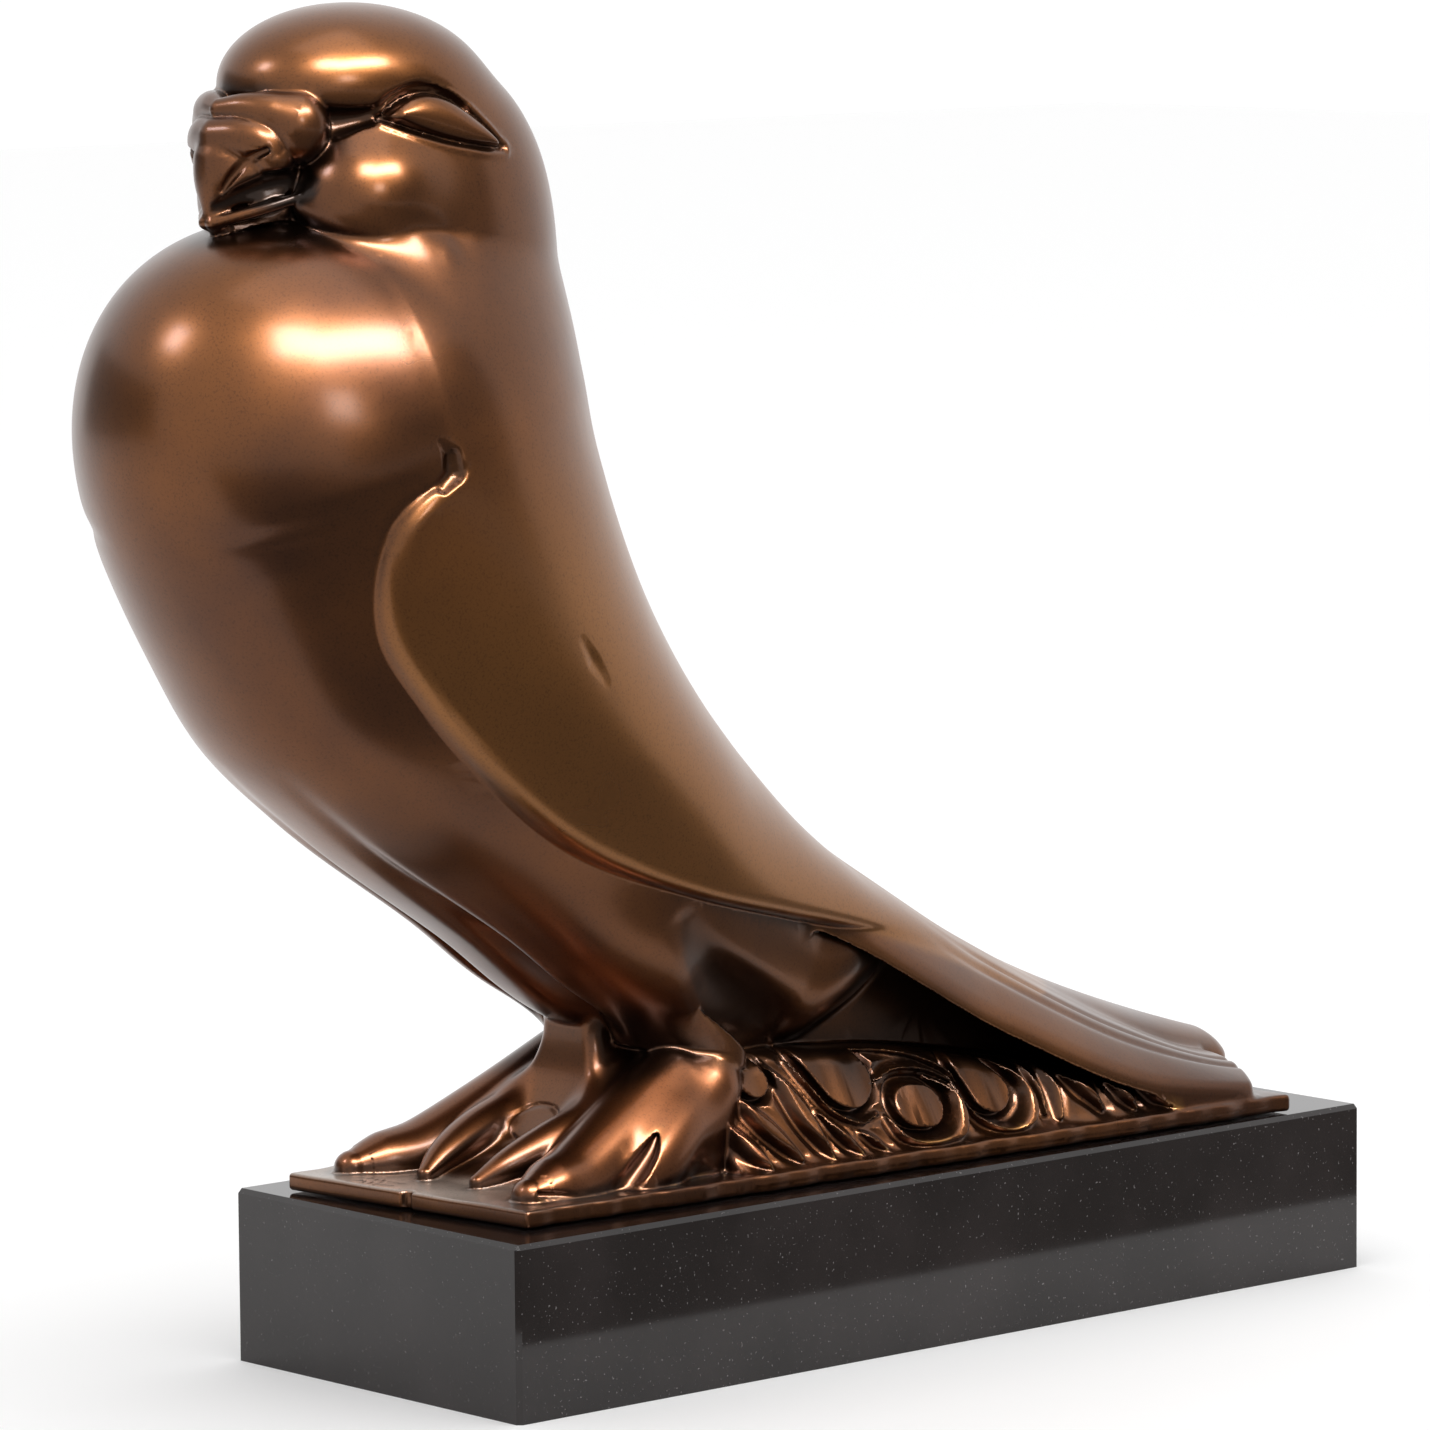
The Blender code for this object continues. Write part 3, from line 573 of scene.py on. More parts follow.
@dataclass
class Legs:
    """Feathered thighs and the spread feet they end in."""

    hem_height: float = 20.0
    hem_slope: float = 0.27

    def hem(self, y: Array) -> Array:
        """Height of the hem where the feathered thigh ends above the foot."""
        return self.hem_height + (-47 - y) * self.hem_slope

    def thigh(self, x: Array, y: Array, z: Array) -> Array:
        """Feathered thigh with its sharp rear fold, cut off at the hem.

        Args:
            x, y, z: Places to measure.

        Returns:
            Distance from its skin, negative inside.
        """
        found = strand(x, y, z, ((17, -53, 38), (14, -44, 18)), (11, 12))
        bulge = curve(z, (15, 17, 24, 36, 50), (0.3, 0.5, 3, 8, 14))
        found = keep(found, (x - 18) * 0.75 - (y + 41) * 0.66 - bulge, 5)
        found = keep(found, 6.5 - x, 4)
        found = keep(found, self.hem(y) - z, 0.6)
        return keep(found, (y - self.fold(z)) * 0.75, 0.5)

    def fold(self, z: Array) -> Array:
        """How far back the thigh reaches at a height, where it ends in a sharp fold."""
        return curve(z, (-20, 18.6, 24.2, 31, 37.2, 41, 45, 60),
                     (-30, -33, -40, -48, -54, -56.5, -57.5, -60))

    def recess(self, x: Array, y: Array, z: Array) -> Array:
        """Deep fold of the body behind the thigh."""
        line = ((32, -56, 44), (29.5, -50, 37.5), (26.5, -43, 31), (24, -34.5, 24.5), (22, -27, 18))
        return strand(x, y, z, line, (0.4, 2.0, 4.2, 5.2, 5.2), True)

    def foot(self, x: Array, y: Array, z: Array) -> Array:
        """Foot with three blunt toes, the heel's sharp rear edge and the web between the legs.

        Args:
            x, y, z: Places to measure.

        Returns:
            Distance from its skin, negative inside.
        """
        found = join(Toe.INNER.shape(x, y, z), Toe.MIDDLE.shape(x, y, z), 1.4)
        found = join(found, Toe.OUTER.shape(x, y, z), 2.5)
        heel = strand(x, y, z, ((17.5, -38, 18), (18.6, -40, 12), (19.3, -45, 0)), (3.6, 4.2, 5.0), True)
        found = join(found, heel, 5)
        cleft = ((27.2, -69.5, 0.2), (25.6, -61.5, 5.6), (24, -57.5, 9))
        found = keep(found, -strand(x, y, z, cleft, (2.4, 1.5, 0.3), True), 0.8)
        claw = ((23.4, -85.6, 1.3), (26.4, -79.0, 0.9))
        found = keep(found, -strand(x, y, z, claw, (0.5, 0.5)), 0.6)
        found = keep(found, (y + 35) * 0.94 + (17 - z) * 0.33, 0.7)
        found = keep(found, z - self.hem(y) - 2, 1)
        front = curve(z, (-2, 0.2, 2.7, 8.2, 14, 23.6, 34, 40),
                      (-84, -80, -72, -64.5, -60, -57.5, -60, -64))
        ring = np.hypot(x / 5.2, (z - 8.2) / 2.9) - 1
        web = keep(keep(front - y, y + 40, 3), x - 11 + 4 * ease(z, 10, 24), 3)
        web = keep(web, z - 42, 2) + 0.4 * bell(ring, 0.13)
        return join(found, web, 3.5)


@dataclass
class Tail:
    """Fanned tail: a thin roof from the rump down to the plate, on a solid middle."""

    at: Sequence[float] = (-30.0, -21.0, 20.8, 55.0, 76.0, 90.0)
    edge: Sequence[float] = (44.0, 40.2, 17.6, 3.6, 0.9, 0.3)
    width: Sequence[float] = (24.0, 26.0, 30.0, 33.0, 34.0, 33.0)
    rise: Sequence[float] = (12.0, 14.5, 15.0, 11.5, 5.4, 2.6)
    thickness: float = 3.4
    grooves: Sequence[float] = (0.66, 0.78)

    def core(self, x: Array, y: Array, z: Array) -> Array:
        """Solid middle that carries the tail down to the plate.

        Args:
            x, y, z: Places to measure.

        Returns:
            Distance from its skin, negative inside.
        """
        top = curve(y, self.at, self.edge) + curve(y, self.at, self.rise)
        found = keep(x - 14, z - top, 2)
        return keep(keep(found, -38 - y, 3), y - 74, 2)

    def roof(self, x: Array, y: Array, z: Array) -> Array:
        """Thin fan of feathers, grooved between them.

        Args:
            x, y, z: Places to measure.

        Returns:
            Distance from its skin, negative inside.
        """
        width = curve(y, self.at, self.width)
        top = curve(y, self.at, self.edge) + 1.6
        top = top + curve(y, self.at, self.rise) * (1 - np.minimum(x / width, 1.2) ** 3.2)
        thickness = self.thickness + 9 * ease(y, 50, 76)
        middle = top - thickness / 2
        found = (np.abs(z - middle) - thickness / 2) * 0.8
        for share in self.grooves:
            groove = 0.45 * bell(x - share * width, 0.9) * ease(y, 0, 30)
            found = found + np.where(z > middle, groove, 0)
        found = keep(found, x - width, 1.5)
        found = keep(found, y - (87 - 10.5 * (x / 34) ** 2), 1.5)
        return keep(found, -28 - y, 2)


@dataclass
class Ground:
    """Thin base plate with the scrolled bank that rises from it under the tail."""

    front: float = -93.0
    length: float = 177.0
    front_width: float = 57.0
    rear_width: float = 71.0
    thickness: float = 3.0
    edge_radius: float = 0.7
    bank_at: Sequence[float] = (-44.0, -36.0, -10.0, 20.0, 45.0, 65.0, 78.0)
    bank_top: Sequence[float] = (13.0, 17.0, 17.5, 13.0, 7.5, 3.0, 0.8)
    bank_inset: float = 1.2
    bank_lean: float = math.radians(30.0)

    def half_width(self, y: Array) -> Array:
        """Half width of the base plate, which widens towards the tail.

        Args:
            y: Places along the plate.

        Returns:
            The half width there.
        """
        share = (y - self.front) / self.length
        ripple = 0.22 * np.sin(0.31 * y) + 0.16 * np.sin(0.83 * y + 1)
        return (self.front_width + (self.rear_width - self.front_width) * share) / 2 + ripple - 0.2

    def plate(self, x: Array, y: Array, z: Array) -> Array:
        """Thin base plate with softened edges.

        Args:
            x, y, z: Places to measure.

        Returns:
            Distance from its skin, negative inside.
        """
        radius = self.edge_radius
        middle = self.front + self.length / 2
        q = np.stack([x - self.half_width(y) + radius,
                      np.abs(y - middle) - self.length / 2 + radius,
                      np.abs(z + self.thickness / 2) - self.thickness / 2 + radius])
        found = np.sqrt((np.maximum(q, 0) ** 2).sum(0)) + np.minimum(q.max(0), 0) - radius
        found = found + 0.12 * np.sin(0.42 * x + 0.6) * np.sin(0.37 * y) * ease(z, -2.5, -0.5)
        return keep(found, 1.1 - np.hypot(x, y - self.front - 0.2), 0.6)

    def scrolls(self, u: Array, v: Array) -> Array:
        """Relief of the bank's face: hanging tongues in curling rims, and slanting leaves.

        Args:
            u: Place along the bank.
            v: Place up its face.

        Returns:
            Height of the relief over the face.
        """
        tongues = (((-35, 21, 3.2), (-33.5, 16.8, 3.4)),
                   ((-17, 22, 6), (-13.6, 15, 5.9)),
                   ((-0.6, 8.2, 4.3), (1.2, 8.0, 4.3)),
                   ((13.5, 15, 3.0), (15.6, 11.5, 3.9), (16.9, 9, 4.5)))
        rims = (((4.5, 12.8, 0.2), (7.8, 10.3, 1.0), (8.5, 6.6, 1.7), (6.8, 2.9, 1.8), (3, 1.3, 1.4),
                 (-1.3, 1.2, 1.2), (-5.2, 2.9, 0.9), (-7.2, 6.6, 0.3)),
                ((20.3, 14.2, 0.2), (23.6, 11, 1.0), (24.9, 7.3, 1.6), (23.6, 3.6, 1.7), (20, 1.4, 1.2),
                 (16.2, 1.9, 0.9), (12.4, 4.4, 0.6), (10.3, 8, 0.5), (9.4, 11.5, 0.3)),
                ((-11.5, 20, 0.5), (-4, 19.2, 0.7), (3, 17.4, 0.7), (8.8, 13.8, 0.6), (10.6, 10.5, 0.3)),
                ((-7.6, 13.2, 0.3), (-3.3, 15.1, 0.6), (0.1, 15.4, 0.6), (4.5, 14.4, 0.6),
                 (9, 11.8, 0.4)),
                ((-24, 19, 0.3), (-21.9, 14.5, 0.5), (-18.8, 9.3, 0.6), (-14, 6.6, 0.6), (-8.8, 7.4, 0.3)))
        leaves = (((-29.3, 19, 0.3), (-26.6, 14, 1.9), (-24.6, 8, 2.1), (-21.9, 0.8, 0.4)),
                  ((-38, 13.5, 1.2), (-33.8, 8, 2.2), (-29, 1.6, 0.9)),
                  ((-42, 9.5, 1.2), (-38.6, 4, 1.9), (-36.3, 0.8, 0.8)),
                  ((-21.5, 9, 0.4), (-18.4, 4.8, 1.3), (-15.6, 1.0, 0.5)),
                  ((-14, 4.6, 0.4), (-11.5, 2.6, 1.0), (-9.4, 0.6, 0.4)),
                  ((26.4, 13, 0.4), (28.0, 8, 0.9), (27.8, 3, 0.5)),
                  ((30.2, 12, 0.6), (31.6, 7.4, 1.3), (30.8, 2, 0.7)),
                  ((34.8, 9.6, 0.4), (38.6, 6.6, 1.7), (41, 2.4, 0.6)),
                  ((44.2, 7, 0.4), (46.8, 4.6, 1.4), (48.5, 1.6, 0.5)),
                  ((51.2, 5, 0.4), (54, 3, 1.2), (56.2, 1, 0.4)))
        relief, moat = np.zeros_like(u), np.zeros_like(u)
        for marks, height, slope, depth in ((leaves, 1.9, 1.7, 0.5), (tongues, 0.9, 0.5, 1.5),
                                            (rims, 2.0, 1.3, 0.5)):
            for line in marks:
                mark, away = raised(u, v, line, height, slope)
                relief = np.maximum(relief, mark)
                moat = np.maximum(moat, depth * bell(away - 0.7, 0.9))
        relief = relief - moat * (1 - ease(relief, 0.0, 0.7))
        return (relief - 0.4) * ease(v, -0.5, 2.0)

    def bank(self, x: Array, y: Array, z: Array) -> Array:
        """Sloping bank of scrolls from the plate's edge up under the tail.

        Args:
            x, y, z: Places to measure.

        Returns:
            Distance from its skin, negative inside.
        """
        foot_line = self.half_width(y) - self.bank_inset
        rise = z / math.cos(self.bank_lean)
        slope = (x - foot_line) * math.cos(self.bank_lean) + z * math.sin(self.bank_lean)
        found = keep(slope - self.scrolls(y, rise), z - curve(y, self.bank_at, self.bank_top), 3)
        return keep(keep(keep(found, -42 - y, 3), y - 79, 2), -z - 1.0, 0.3)


# From the field to a skin


def place(name: str, data: bpy.types.ID) -> bpy.types.Object:
    """Put a new object with that mesh, light or camera in the scene.

    Args:
        name: Name of the object.
        data: What it holds.

    Returns:
        The object, at the origin.
    """
    piece = bpy.data.objects.new(name, data)
    bpy.context.scene.collection.objects.link(piece)
    return piece


def sheet(name: str, corners: Sequence[Point], finish: bpy.types.Material) -> bpy.types.Object:
    """Flat four-sided sheet.

    Args:
        name: Name of the sheet.
        corners: Its corners in turn, in metres.
        finish: Its material.

    Returns:
        The sheet.
    """
    mesh = bpy.data.meshes.new(name)
    mesh.from_pydata(corners, [], [(0, 1, 2, 3)])
    mesh.materials.append(finish)
    return place(name, mesh)


@dataclass
class Skin:
    """Closed skin of a field that is the same on both sides of x = 0."""

    shape: Field
    low: Point
    high: Point
    cell: float
    block: int = 8

    def sample(self) -> Array:
        """Values of the field on a grid over the half x >= 0, worked out near the skin only.

        Returns:
            The values, held to three cells on either side of the skin.
        """
        size = self.cell * self.block
        blocks = np.ceil((np.array(self.high) - self.low) / size).astype(int)
        middles = [self.low[i] + (np.arange(blocks[i]) + 0.5) * size for i in range(3)]
        places = [a.ravel() for a in np.meshgrid(*middles, indexing="ij")]
        rough = self.shape(*places).reshape(blocks)
        limit = 3 * self.cell
        values = np.where(rough < 0, -limit, limit).astype(np.float32)
        for axis in range(3):
            values = np.repeat(values, self.block, axis)
        near = np.argwhere(np.abs(rough) < size * 1.1 + 3)
        offsets = np.stack(np.meshgrid(*[np.arange(self.block)] * 3, indexing="ij"), -1).reshape(-1, 3)
        for chunk in np.array_split(near, max(1, len(near) // 600)):
            index = (chunk[:, None, :] * self.block + offsets).reshape(-1, 3)
            points = np.array(self.low) + index * self.cell
            values[tuple(index.T)] = np.clip(self.shape(*points.T), -limit, limit)
        return values

    def slope(self, points: Array, step: float = 0.15) -> Array:
        """Slope of the field at each point, by central differences.

        Args:
            points: Places to measure.
            step: Distance to either side of them.

        Returns:
            Three parts of the slope at each point.
        """
        found = np.empty_like(points)
        for axis in range(3):
            shift = np.zeros(3)
            shift[axis] = step
            ahead, behind = self.shape(*(points + shift).T), self.shape(*(points - shift).T)
            found[:, axis] = (ahead - behind) / (2 * step)
        return found

    def settle(self, points: Array) -> Array:
        """Move points along the field's slope onto its zero, by no more than part of a cell.

        Args:
            points: Points near the skin.

        Returns:
            The points on it.
        """
        slope = self.slope(points)
        steep = np.maximum((slope ** 2).sum(1), 0.25)
        move = -(self.shape(*points.T) / steep)[:, None] * slope
        length = np.linalg.norm(move, axis=1, keepdims=True)
        return points + move * np.minimum(1.0, 0.6 * self.cell / np.maximum(length, 1e-9))

    def faces(self) -> tuple[Array, Array]:
        """Points and four-sided faces of the skin, in figure millimetres.

        Returns:
            The points, and the four corners of each face.
        """
        half = self.sample()
        grid = openvdb.FloatGrid()
        grid.copyFromArray(np.ascontiguousarray(np.concatenate([half[:0:-1], half], 0)))
        points, _, quads = grid.convertToPolygons(isovalue=0.0, adaptivity=0.0)
        points = points.astype(float) * self.cell
        points += np.array([-(half.shape[0] - 1) * self.cell, self.low[1], self.low[2]])
        return self.settle(points), np.asarray(quads, dtype=np.int64)

    def mesh(self, name: str, triangles: int) -> tuple[bpy.types.Mesh, Array]:
        """Thin the skin to a number of triangles.

        Args:
            name: Name of the mesh.
            triangles: How many it keeps.

        Returns:
            The mesh, in figure millimetres, and its points.
        """
        points, quads = self.faces()
        dense = bpy.data.meshes.new(name)
        dense.from_pydata(points, [], quads.tolist())
        dense.update()
        carrier = place(name, dense)
        thin = carrier.modifiers.new("thin", "DECIMATE")
        thin.ratio = min(1.0, triangles / (2.0 * len(quads)))
        thin.use_collapse_triangulate = True
        carrier_now = carrier.evaluated_get(bpy.context.evaluated_depsgraph_get())
        mesh = bpy.data.meshes.new_from_object(carrier_now)
        bpy.data.objects.remove(carrier, do_unlink=True)
        bpy.data.meshes.remove(dense)
        mesh.name = name
        places = np.empty(len(mesh.vertices) * 3)
        mesh.vertices.foreach_get("co", places)
        return mesh, self.settle(places.reshape(-1, 3).astype(float))


# Finishes


class Nodes:
    """Small builder for one material's node tree."""

    def __init__(self, name: str) -> None:
        """Start an empty Principled material with Object coordinates at hand.

        Args:
            name: Name of the material.
        """
        self.material = bpy.data.materials.new(name)
        self.material.use_nodes = True
        self.tree = self.material.node_tree
        self.shader = self.tree.nodes["Principled BSDF"]
        self.places = self.tree.nodes.new("ShaderNodeTexCoord").outputs["Object"]

    def link(self, source: bpy.types.NodeSocket, target: bpy.types.NodeSocket) -> None:
        """Join an output to an input."""
        self.tree.links.new(source, target)

    def attribute(self, name: str) -> bpy.types.NodeSocket:
        """Value of a named attribute of the surface.

        Args:
            name: Name of the attribute.

        Returns:
            Its value.
        """
        node = self.tree.nodes.new("ShaderNodeAttribute")
        node.attribute_name = name
        return node.outputs["Fac"]

    def noise(self, scale: float, detail: float) -> bpy.types.NodeSocket:
        """Cloudy pattern on Object coordinates, from 0 to 1.

        Args:
            scale: How fine the pattern is.
            detail: How many finer layers it has.

        Returns:
            The pattern.
        """
        node = self.tree.nodes.new("ShaderNodeTexNoise")
        node.inputs["Scale"].default_value = scale
        node.inputs["Detail"].default_value = detail
        self.link(self.places, node.inputs["Vector"])
        return node.outputs["Fac"]

    def band(self, value: bpy.types.NodeSocket, low: float, high: float,
             start: float = 0.0, end: float = 1.0) -> bpy.types.NodeSocket:
        """Stretch low to high of a value onto start to end, held at both ends.

        Args:
            value: Value to stretch.
            low, high: Part of it that is stretched.
            start, end: What that part becomes.

        Returns:
            The stretched value.
        """
        node = self.tree.nodes.new("ShaderNodeMapRange")
        for socket, number in zip(("From Min", "From Max", "To Min", "To Max"), (low, high, start, end)):
            node.inputs[socket].default_value = number
        self.link(value, node.inputs["Value"])
        return node.outputs["Result"]

    def plus(self, a: bpy.types.NodeSocket, b: bpy.types.NodeSocket) -> bpy.types.NodeSocket:
        """Sum of two values.

        Args:
            a, b: Values to add.

        Returns:
            Their sum.
        """
        node = self.tree.nodes.new("ShaderNodeMath")
        self.link(a, node.inputs[0])
        self.link(b, node.inputs[1])
        return node.outputs["Value"]

    def mix(self, share: bpy.types.NodeSocket, first: bpy.types.NodeSocket | Colour,
            second: Colour) -> bpy.types.NodeSocket:
        """Blend from the first colour to the second by the share.

        Args:
            share: Share of the second colour.
            first, second: The colours.

        Returns:
            The blended colour.
        """
        node = self.tree.nodes.new("ShaderNodeMix")
        node.data_type = "RGBA"
        self.link(share, node.inputs[0])
        if isinstance(first, tuple):
            node.inputs[6].default_value = first
        else:
            self.link(first, node.inputs[6])
        node.inputs[7].default_value = second
        return node.outputs[2]

    def bump(self, height: bpy.types.NodeSocket, strength: float, distance: float) -> None:
        """Fine unevenness of the surface.

        Args:
            height: Pattern of the unevenness.
            strength: Share of it that shows.
            distance: Its height, in metres.
        """
        node = self.tree.nodes.new("ShaderNodeBump")
        node.inputs["Strength"].default_value = strength
        node.inputs["Distance"].default_value = distance
        self.link(height, node.inputs["Height"])
        self.link(node.outputs["Normal"], self.shader.inputs["Normal"])


@dataclass(frozen=True)
class PatinaAndPaintedLight:
    """Brown wax-polished patina of the bronze, with its zones, painted shade in its hollows, and a lighter
    grey on the plate's top that is partly a painted reflection.
    """

    brown: Colour = (0.165, 0.058, 0.0150, 1.0)
    dark_brown: Colour = (0.080, 0.029, 0.012, 1.0)
    olive: Colour = (0.235, 0.094, 0.024, 1.0)
    copper: Colour = (0.160, 0.054, 0.018, 1.0)
    grey_brown_and_sheen: Colour = (0.330, 0.262, 0.215, 1.0)
    black: Colour = (0.010, 0.006, 0.004, 1.0)
    brass: Colour = (0.520, 0.250, 0.070, 1.0)
    roughness: float = 0.31
    wax: float = 0.42
    plate_wax: float = 0.7
    wax_roughness: float = 0.2

    def material(self) -> bpy.types.Material:
        """Material whose zones come from the surface's own attributes.

        Returns:
            The material.
        """
        nodes = Nodes("brown patina")
        cloud = nodes.band(nodes.noise(scale=22, detail=4), low=0.35, high=0.68)
        colour = nodes.mix(cloud, self.brown, self.dark_brown)
        colour = nodes.mix(nodes.attribute("wing"), colour, self.olive)
        colour = nodes.mix(nodes.attribute("foot"), colour, self.copper)
        # Lighter grey on the plate's top: partly a greyer patina, partly a painted reflection of the bright
        # room.
        colour = nodes.mix(nodes.attribute("plate"), colour, self.grey_brown_and_sheen)
        speckle = nodes.band(nodes.noise(scale=2600, detail=2), low=0.52, high=0.72, start=0.0, end=0.3)
        colour = nodes.mix(speckle, colour, self.black)
        colour = nodes.mix(nodes.attribute("rubbed"), colour, self.brass)
        # Painted shade: hollows, creases, the recess behind the thigh and the mouth turn near black, partly
        # also the dark wax that gathers in them.
        colour = nodes.mix(nodes.attribute("hollow"), colour, self.black)
        nodes.link(colour, nodes.shader.inputs["Base Color"])
        nodes.shader.inputs["Metallic"].default_value = 1.0
        coat = nodes.band(nodes.attribute("plate"), 0, 1, self.wax, self.plate_wax)
        nodes.link(coat, nodes.shader.inputs["Coat Weight"])
        nodes.shader.inputs["Coat Roughness"].default_value = self.wax_roughness
        rough = nodes.band(nodes.noise(scale=40, detail=3), 0.3, 0.7, self.roughness - 0.04,
                           self.roughness + 0.05)
        rough = nodes.plus(rough, nodes.band(nodes.attribute("plate"), 0, 1, start=0.0, end=0.2))
        nodes.link(rough, nodes.shader.inputs["Roughness"])
        nodes.bump(nodes.noise(scale=160, detail=3), strength=0.12, distance=0.0004)
        return nodes.material


@dataclass(frozen=True)
class Stone:
    """Polished black marble with fine grey flecks."""

    ground: Colour = (0.010, 0.0070, 0.0065, 1.0)
    cloud: Colour = (0.020, 0.0150, 0.0145, 1.0)
    fleck: Colour = (0.14, 0.13, 0.13, 1.0)
    roughness: float = 0.08

    def material(self) -> bpy.types.Material:
        """Material on Object coordinates.

        Returns:
            The material.
        """
        nodes = Nodes("black marble")
        cloud = nodes.band(nodes.noise(scale=45, detail=5), low=0.4, high=0.7)
        colour = nodes.mix(cloud, self.ground, self.cloud)
        flecks = nodes.band(nodes.noise(scale=1900, detail=1), low=0.70, high=0.78)
        colour = nodes.mix(flecks, colour, self.fleck)
        nodes.link(colour, nodes.shader.inputs["Base Color"])
        nodes.shader.inputs["Roughness"].default_value = self.roughness
        return nodes.material


@dataclass(frozen=True)
class Plain:
    """Even finish without a pattern."""

    name: str
    colour: Colour
    roughness: float
    metal: float = 0.0
    shine: float = 0.5

    def material(self) -> bpy.types.Material:
        """Material of one colour.

        Returns:
            The material.
        """
        nodes = Nodes(self.name)
        nodes.shader.inputs["Base Color"].default_value = self.colour
        nodes.shader.inputs["Metallic"].default_value = self.metal
        nodes.shader.inputs["Roughness"].default_value = self.roughness
        nodes.shader.inputs["Specular IOR Level"].default_value = self.shine
        return nodes.material


# Pieces


@dataclass
class Pigeon:
    """The bronze casting: bird, feet, scrolled bank and base plate in one skin."""

    spine: Spine = field(default_factory=Spine)
    plumage: Plumage = field(default_factory=Plumage)
    head: Head = field(default_factory=Head)
    legs: Legs = field(default_factory=Legs)
    tail: Tail = field(default_factory=Tail)
    ground: Ground = field(default_factory=Ground)
    footing: float = 1.0
    # Reaches and weights of the painted shade in hollows and creases.
    painted_shade_reaches: Sequence[tuple[float, float]] = ((0.9, 0.35), (3.5, 0.7), (11.0, 0.75))
    cell: float = 0.45
    triangles: int = 196000
    patina: PatinaAndPaintedLight = PatinaAndPaintedLight()

    def shape(self, x: Array, y: Array, z: Array) -> Array:
        """Field of the whole casting: negative inside the bronze.

        Args:
            x, y, z: Places to measure.

        Returns:
            Distance from its skin, negative inside.
        """
        x = np.sqrt(x * x + 1e-4)
        t, s, length = self.spine.locate(y, z)
        edge = self.plumage.edge_distance(t, s, length)
        found = join(self.plumage.breast(x, t, s, edge), self.plumage.wing(x, t, s, edge), 0.5)
        found = keep(found, -self.plumage.notch(x, y, z), 1.0)
        found = keep(found, -self.plumage.dent(x, y, z), 1.2)
        high, low = z > 84, z < 60
        face = only(high, self.head.face, x, y, z)
        found = join(found, face, 2.0 + 8 * ease(y, -124, -106))
        beak = only(high & (y < -105), self.head.beak, x, y, z)
        found = join(found, beak, 0.8 + 2.5 * ease(y, -130, -121) * (1 - ease(z, 165, 168)))
        found = join(found, self.plumage.vent(x, y, z), 2)
        found = keep(found, -only(low, self.legs.recess, x, y, z), 5)
        thigh = only(low, self.legs.thigh, x, y, z)
        found = join(found, thigh, 0.6 + 4.4 * ease(self.legs.fold(z) - y, 0, 9))
        found = join(found, self.tail.core(x, y, z), 2)
        found = join(found, self.tail.roof(x, y, z), 1.2)
        found = join(found, only(low & (y < -20), self.legs.foot, x, y, z), 0.8)
        found = keep(found, -z - self.footing, 0.3)
        bank = only(low & (y > -52), self.ground.bank, x, y, z)
        return join(found, join(self.ground.plate(x, y, z), bank, 1.0), 0.8)

    def slew(self, points: Array) -> Array:
        """Turn the front of the feet and plate a little, which aren't square to the plinth.

        Args:
            points: Points of the casting.

        Returns:
            The points in their turned places.
        """
        points = points.copy()
        share = ease(-points[:, 1], 50, 90) * (1 - ease(points[:, 2], 8, 24))
        points[:, 1] += SLEW * points[:, 0] * share
        return points

    def zones(self, skin: Skin, points: Array, normals: Array) -> dict[str, Array]:
        """Shares of each patina zone at the points, with the painted shade and the plate top's partly
        painted reflection.

        Args:
            skin: The casting's skin.
            points: Its points, in figure millimetres.
            normals: Outward directions there.

        Returns:
            Values from 0 to 1 by attribute name.
        """
        x, y, z = np.abs(points[:, 0]), points[:, 1], points[:, 2]
        t, s, length = self.spine.locate(y, z)
        edge = self.plumage.edge_distance(t, s, length)
        above = z > 22
        wing = ease(edge, -0.5, 1.0) * ease(t, 0.12, 0.30) * above
        foot = (1 - ease(z - self.legs.hem(y), -1.5, 0.5)) * ease(z, 0.3, 2.0)
        foot = foot * ease(-y, 34, 38) * ease(x, 3, 9)
        # plate: lighter grey on the upward front of the plate, partly greyer patina and partly a painted
        # reflection, weaker towards +X.
        plate = (1 - ease(z, 0.2, 1.2)) * ease(normals[:, 2], 0.5, 0.9) * ease(-y, 55, 85)
        plate = plate * (1 - 0.65 * ease(points[:, 0], 6, 24))
        # hollow is painted shade: darker where little room lies outside the skin, partly also the dark wax
        # that gathers there.
        hollow = np.zeros(len(points))
        for reach, weight in self.painted_shade_reaches:
            room = skin.shape(*(points + normals * reach).T)
            hollow = np.maximum(hollow, weight * ease(1 - room / reach, 0.12, 0.75))
        # Painted shade in the deep recess behind the thigh.
        behind = only(z < 60, self.legs.recess, x, y, z)
        hollow = np.maximum(hollow, 0.85 * (1 - ease(behind, -0.5, 5.5)) * ease(z, 14, 19)
                            * ease(y - self.legs.fold(z), 0.3, 1.5))
        # Painted shade inside the mouth, nearly black.
        mouth = only((z > 150) & (y < -105), self.head.mouth, x, y, z)
        hollow = np.maximum(hollow, 0.92 * (1 - ease(mouth, 0.2, 1.3)))
        thin = 1 + skin.shape(*(points - normals * 0.8).T) / 0.8
        low = (1 - ease(z, 0.5, 2.5)) * ease(x, 20, 27)
        rubbed = ease(thin, 0.25, 0.8) * np.maximum(low, 0.06)
        return {"wing": wing, "foot": foot, "plate": plate, "hollow": hollow, "rubbed": rubbed}

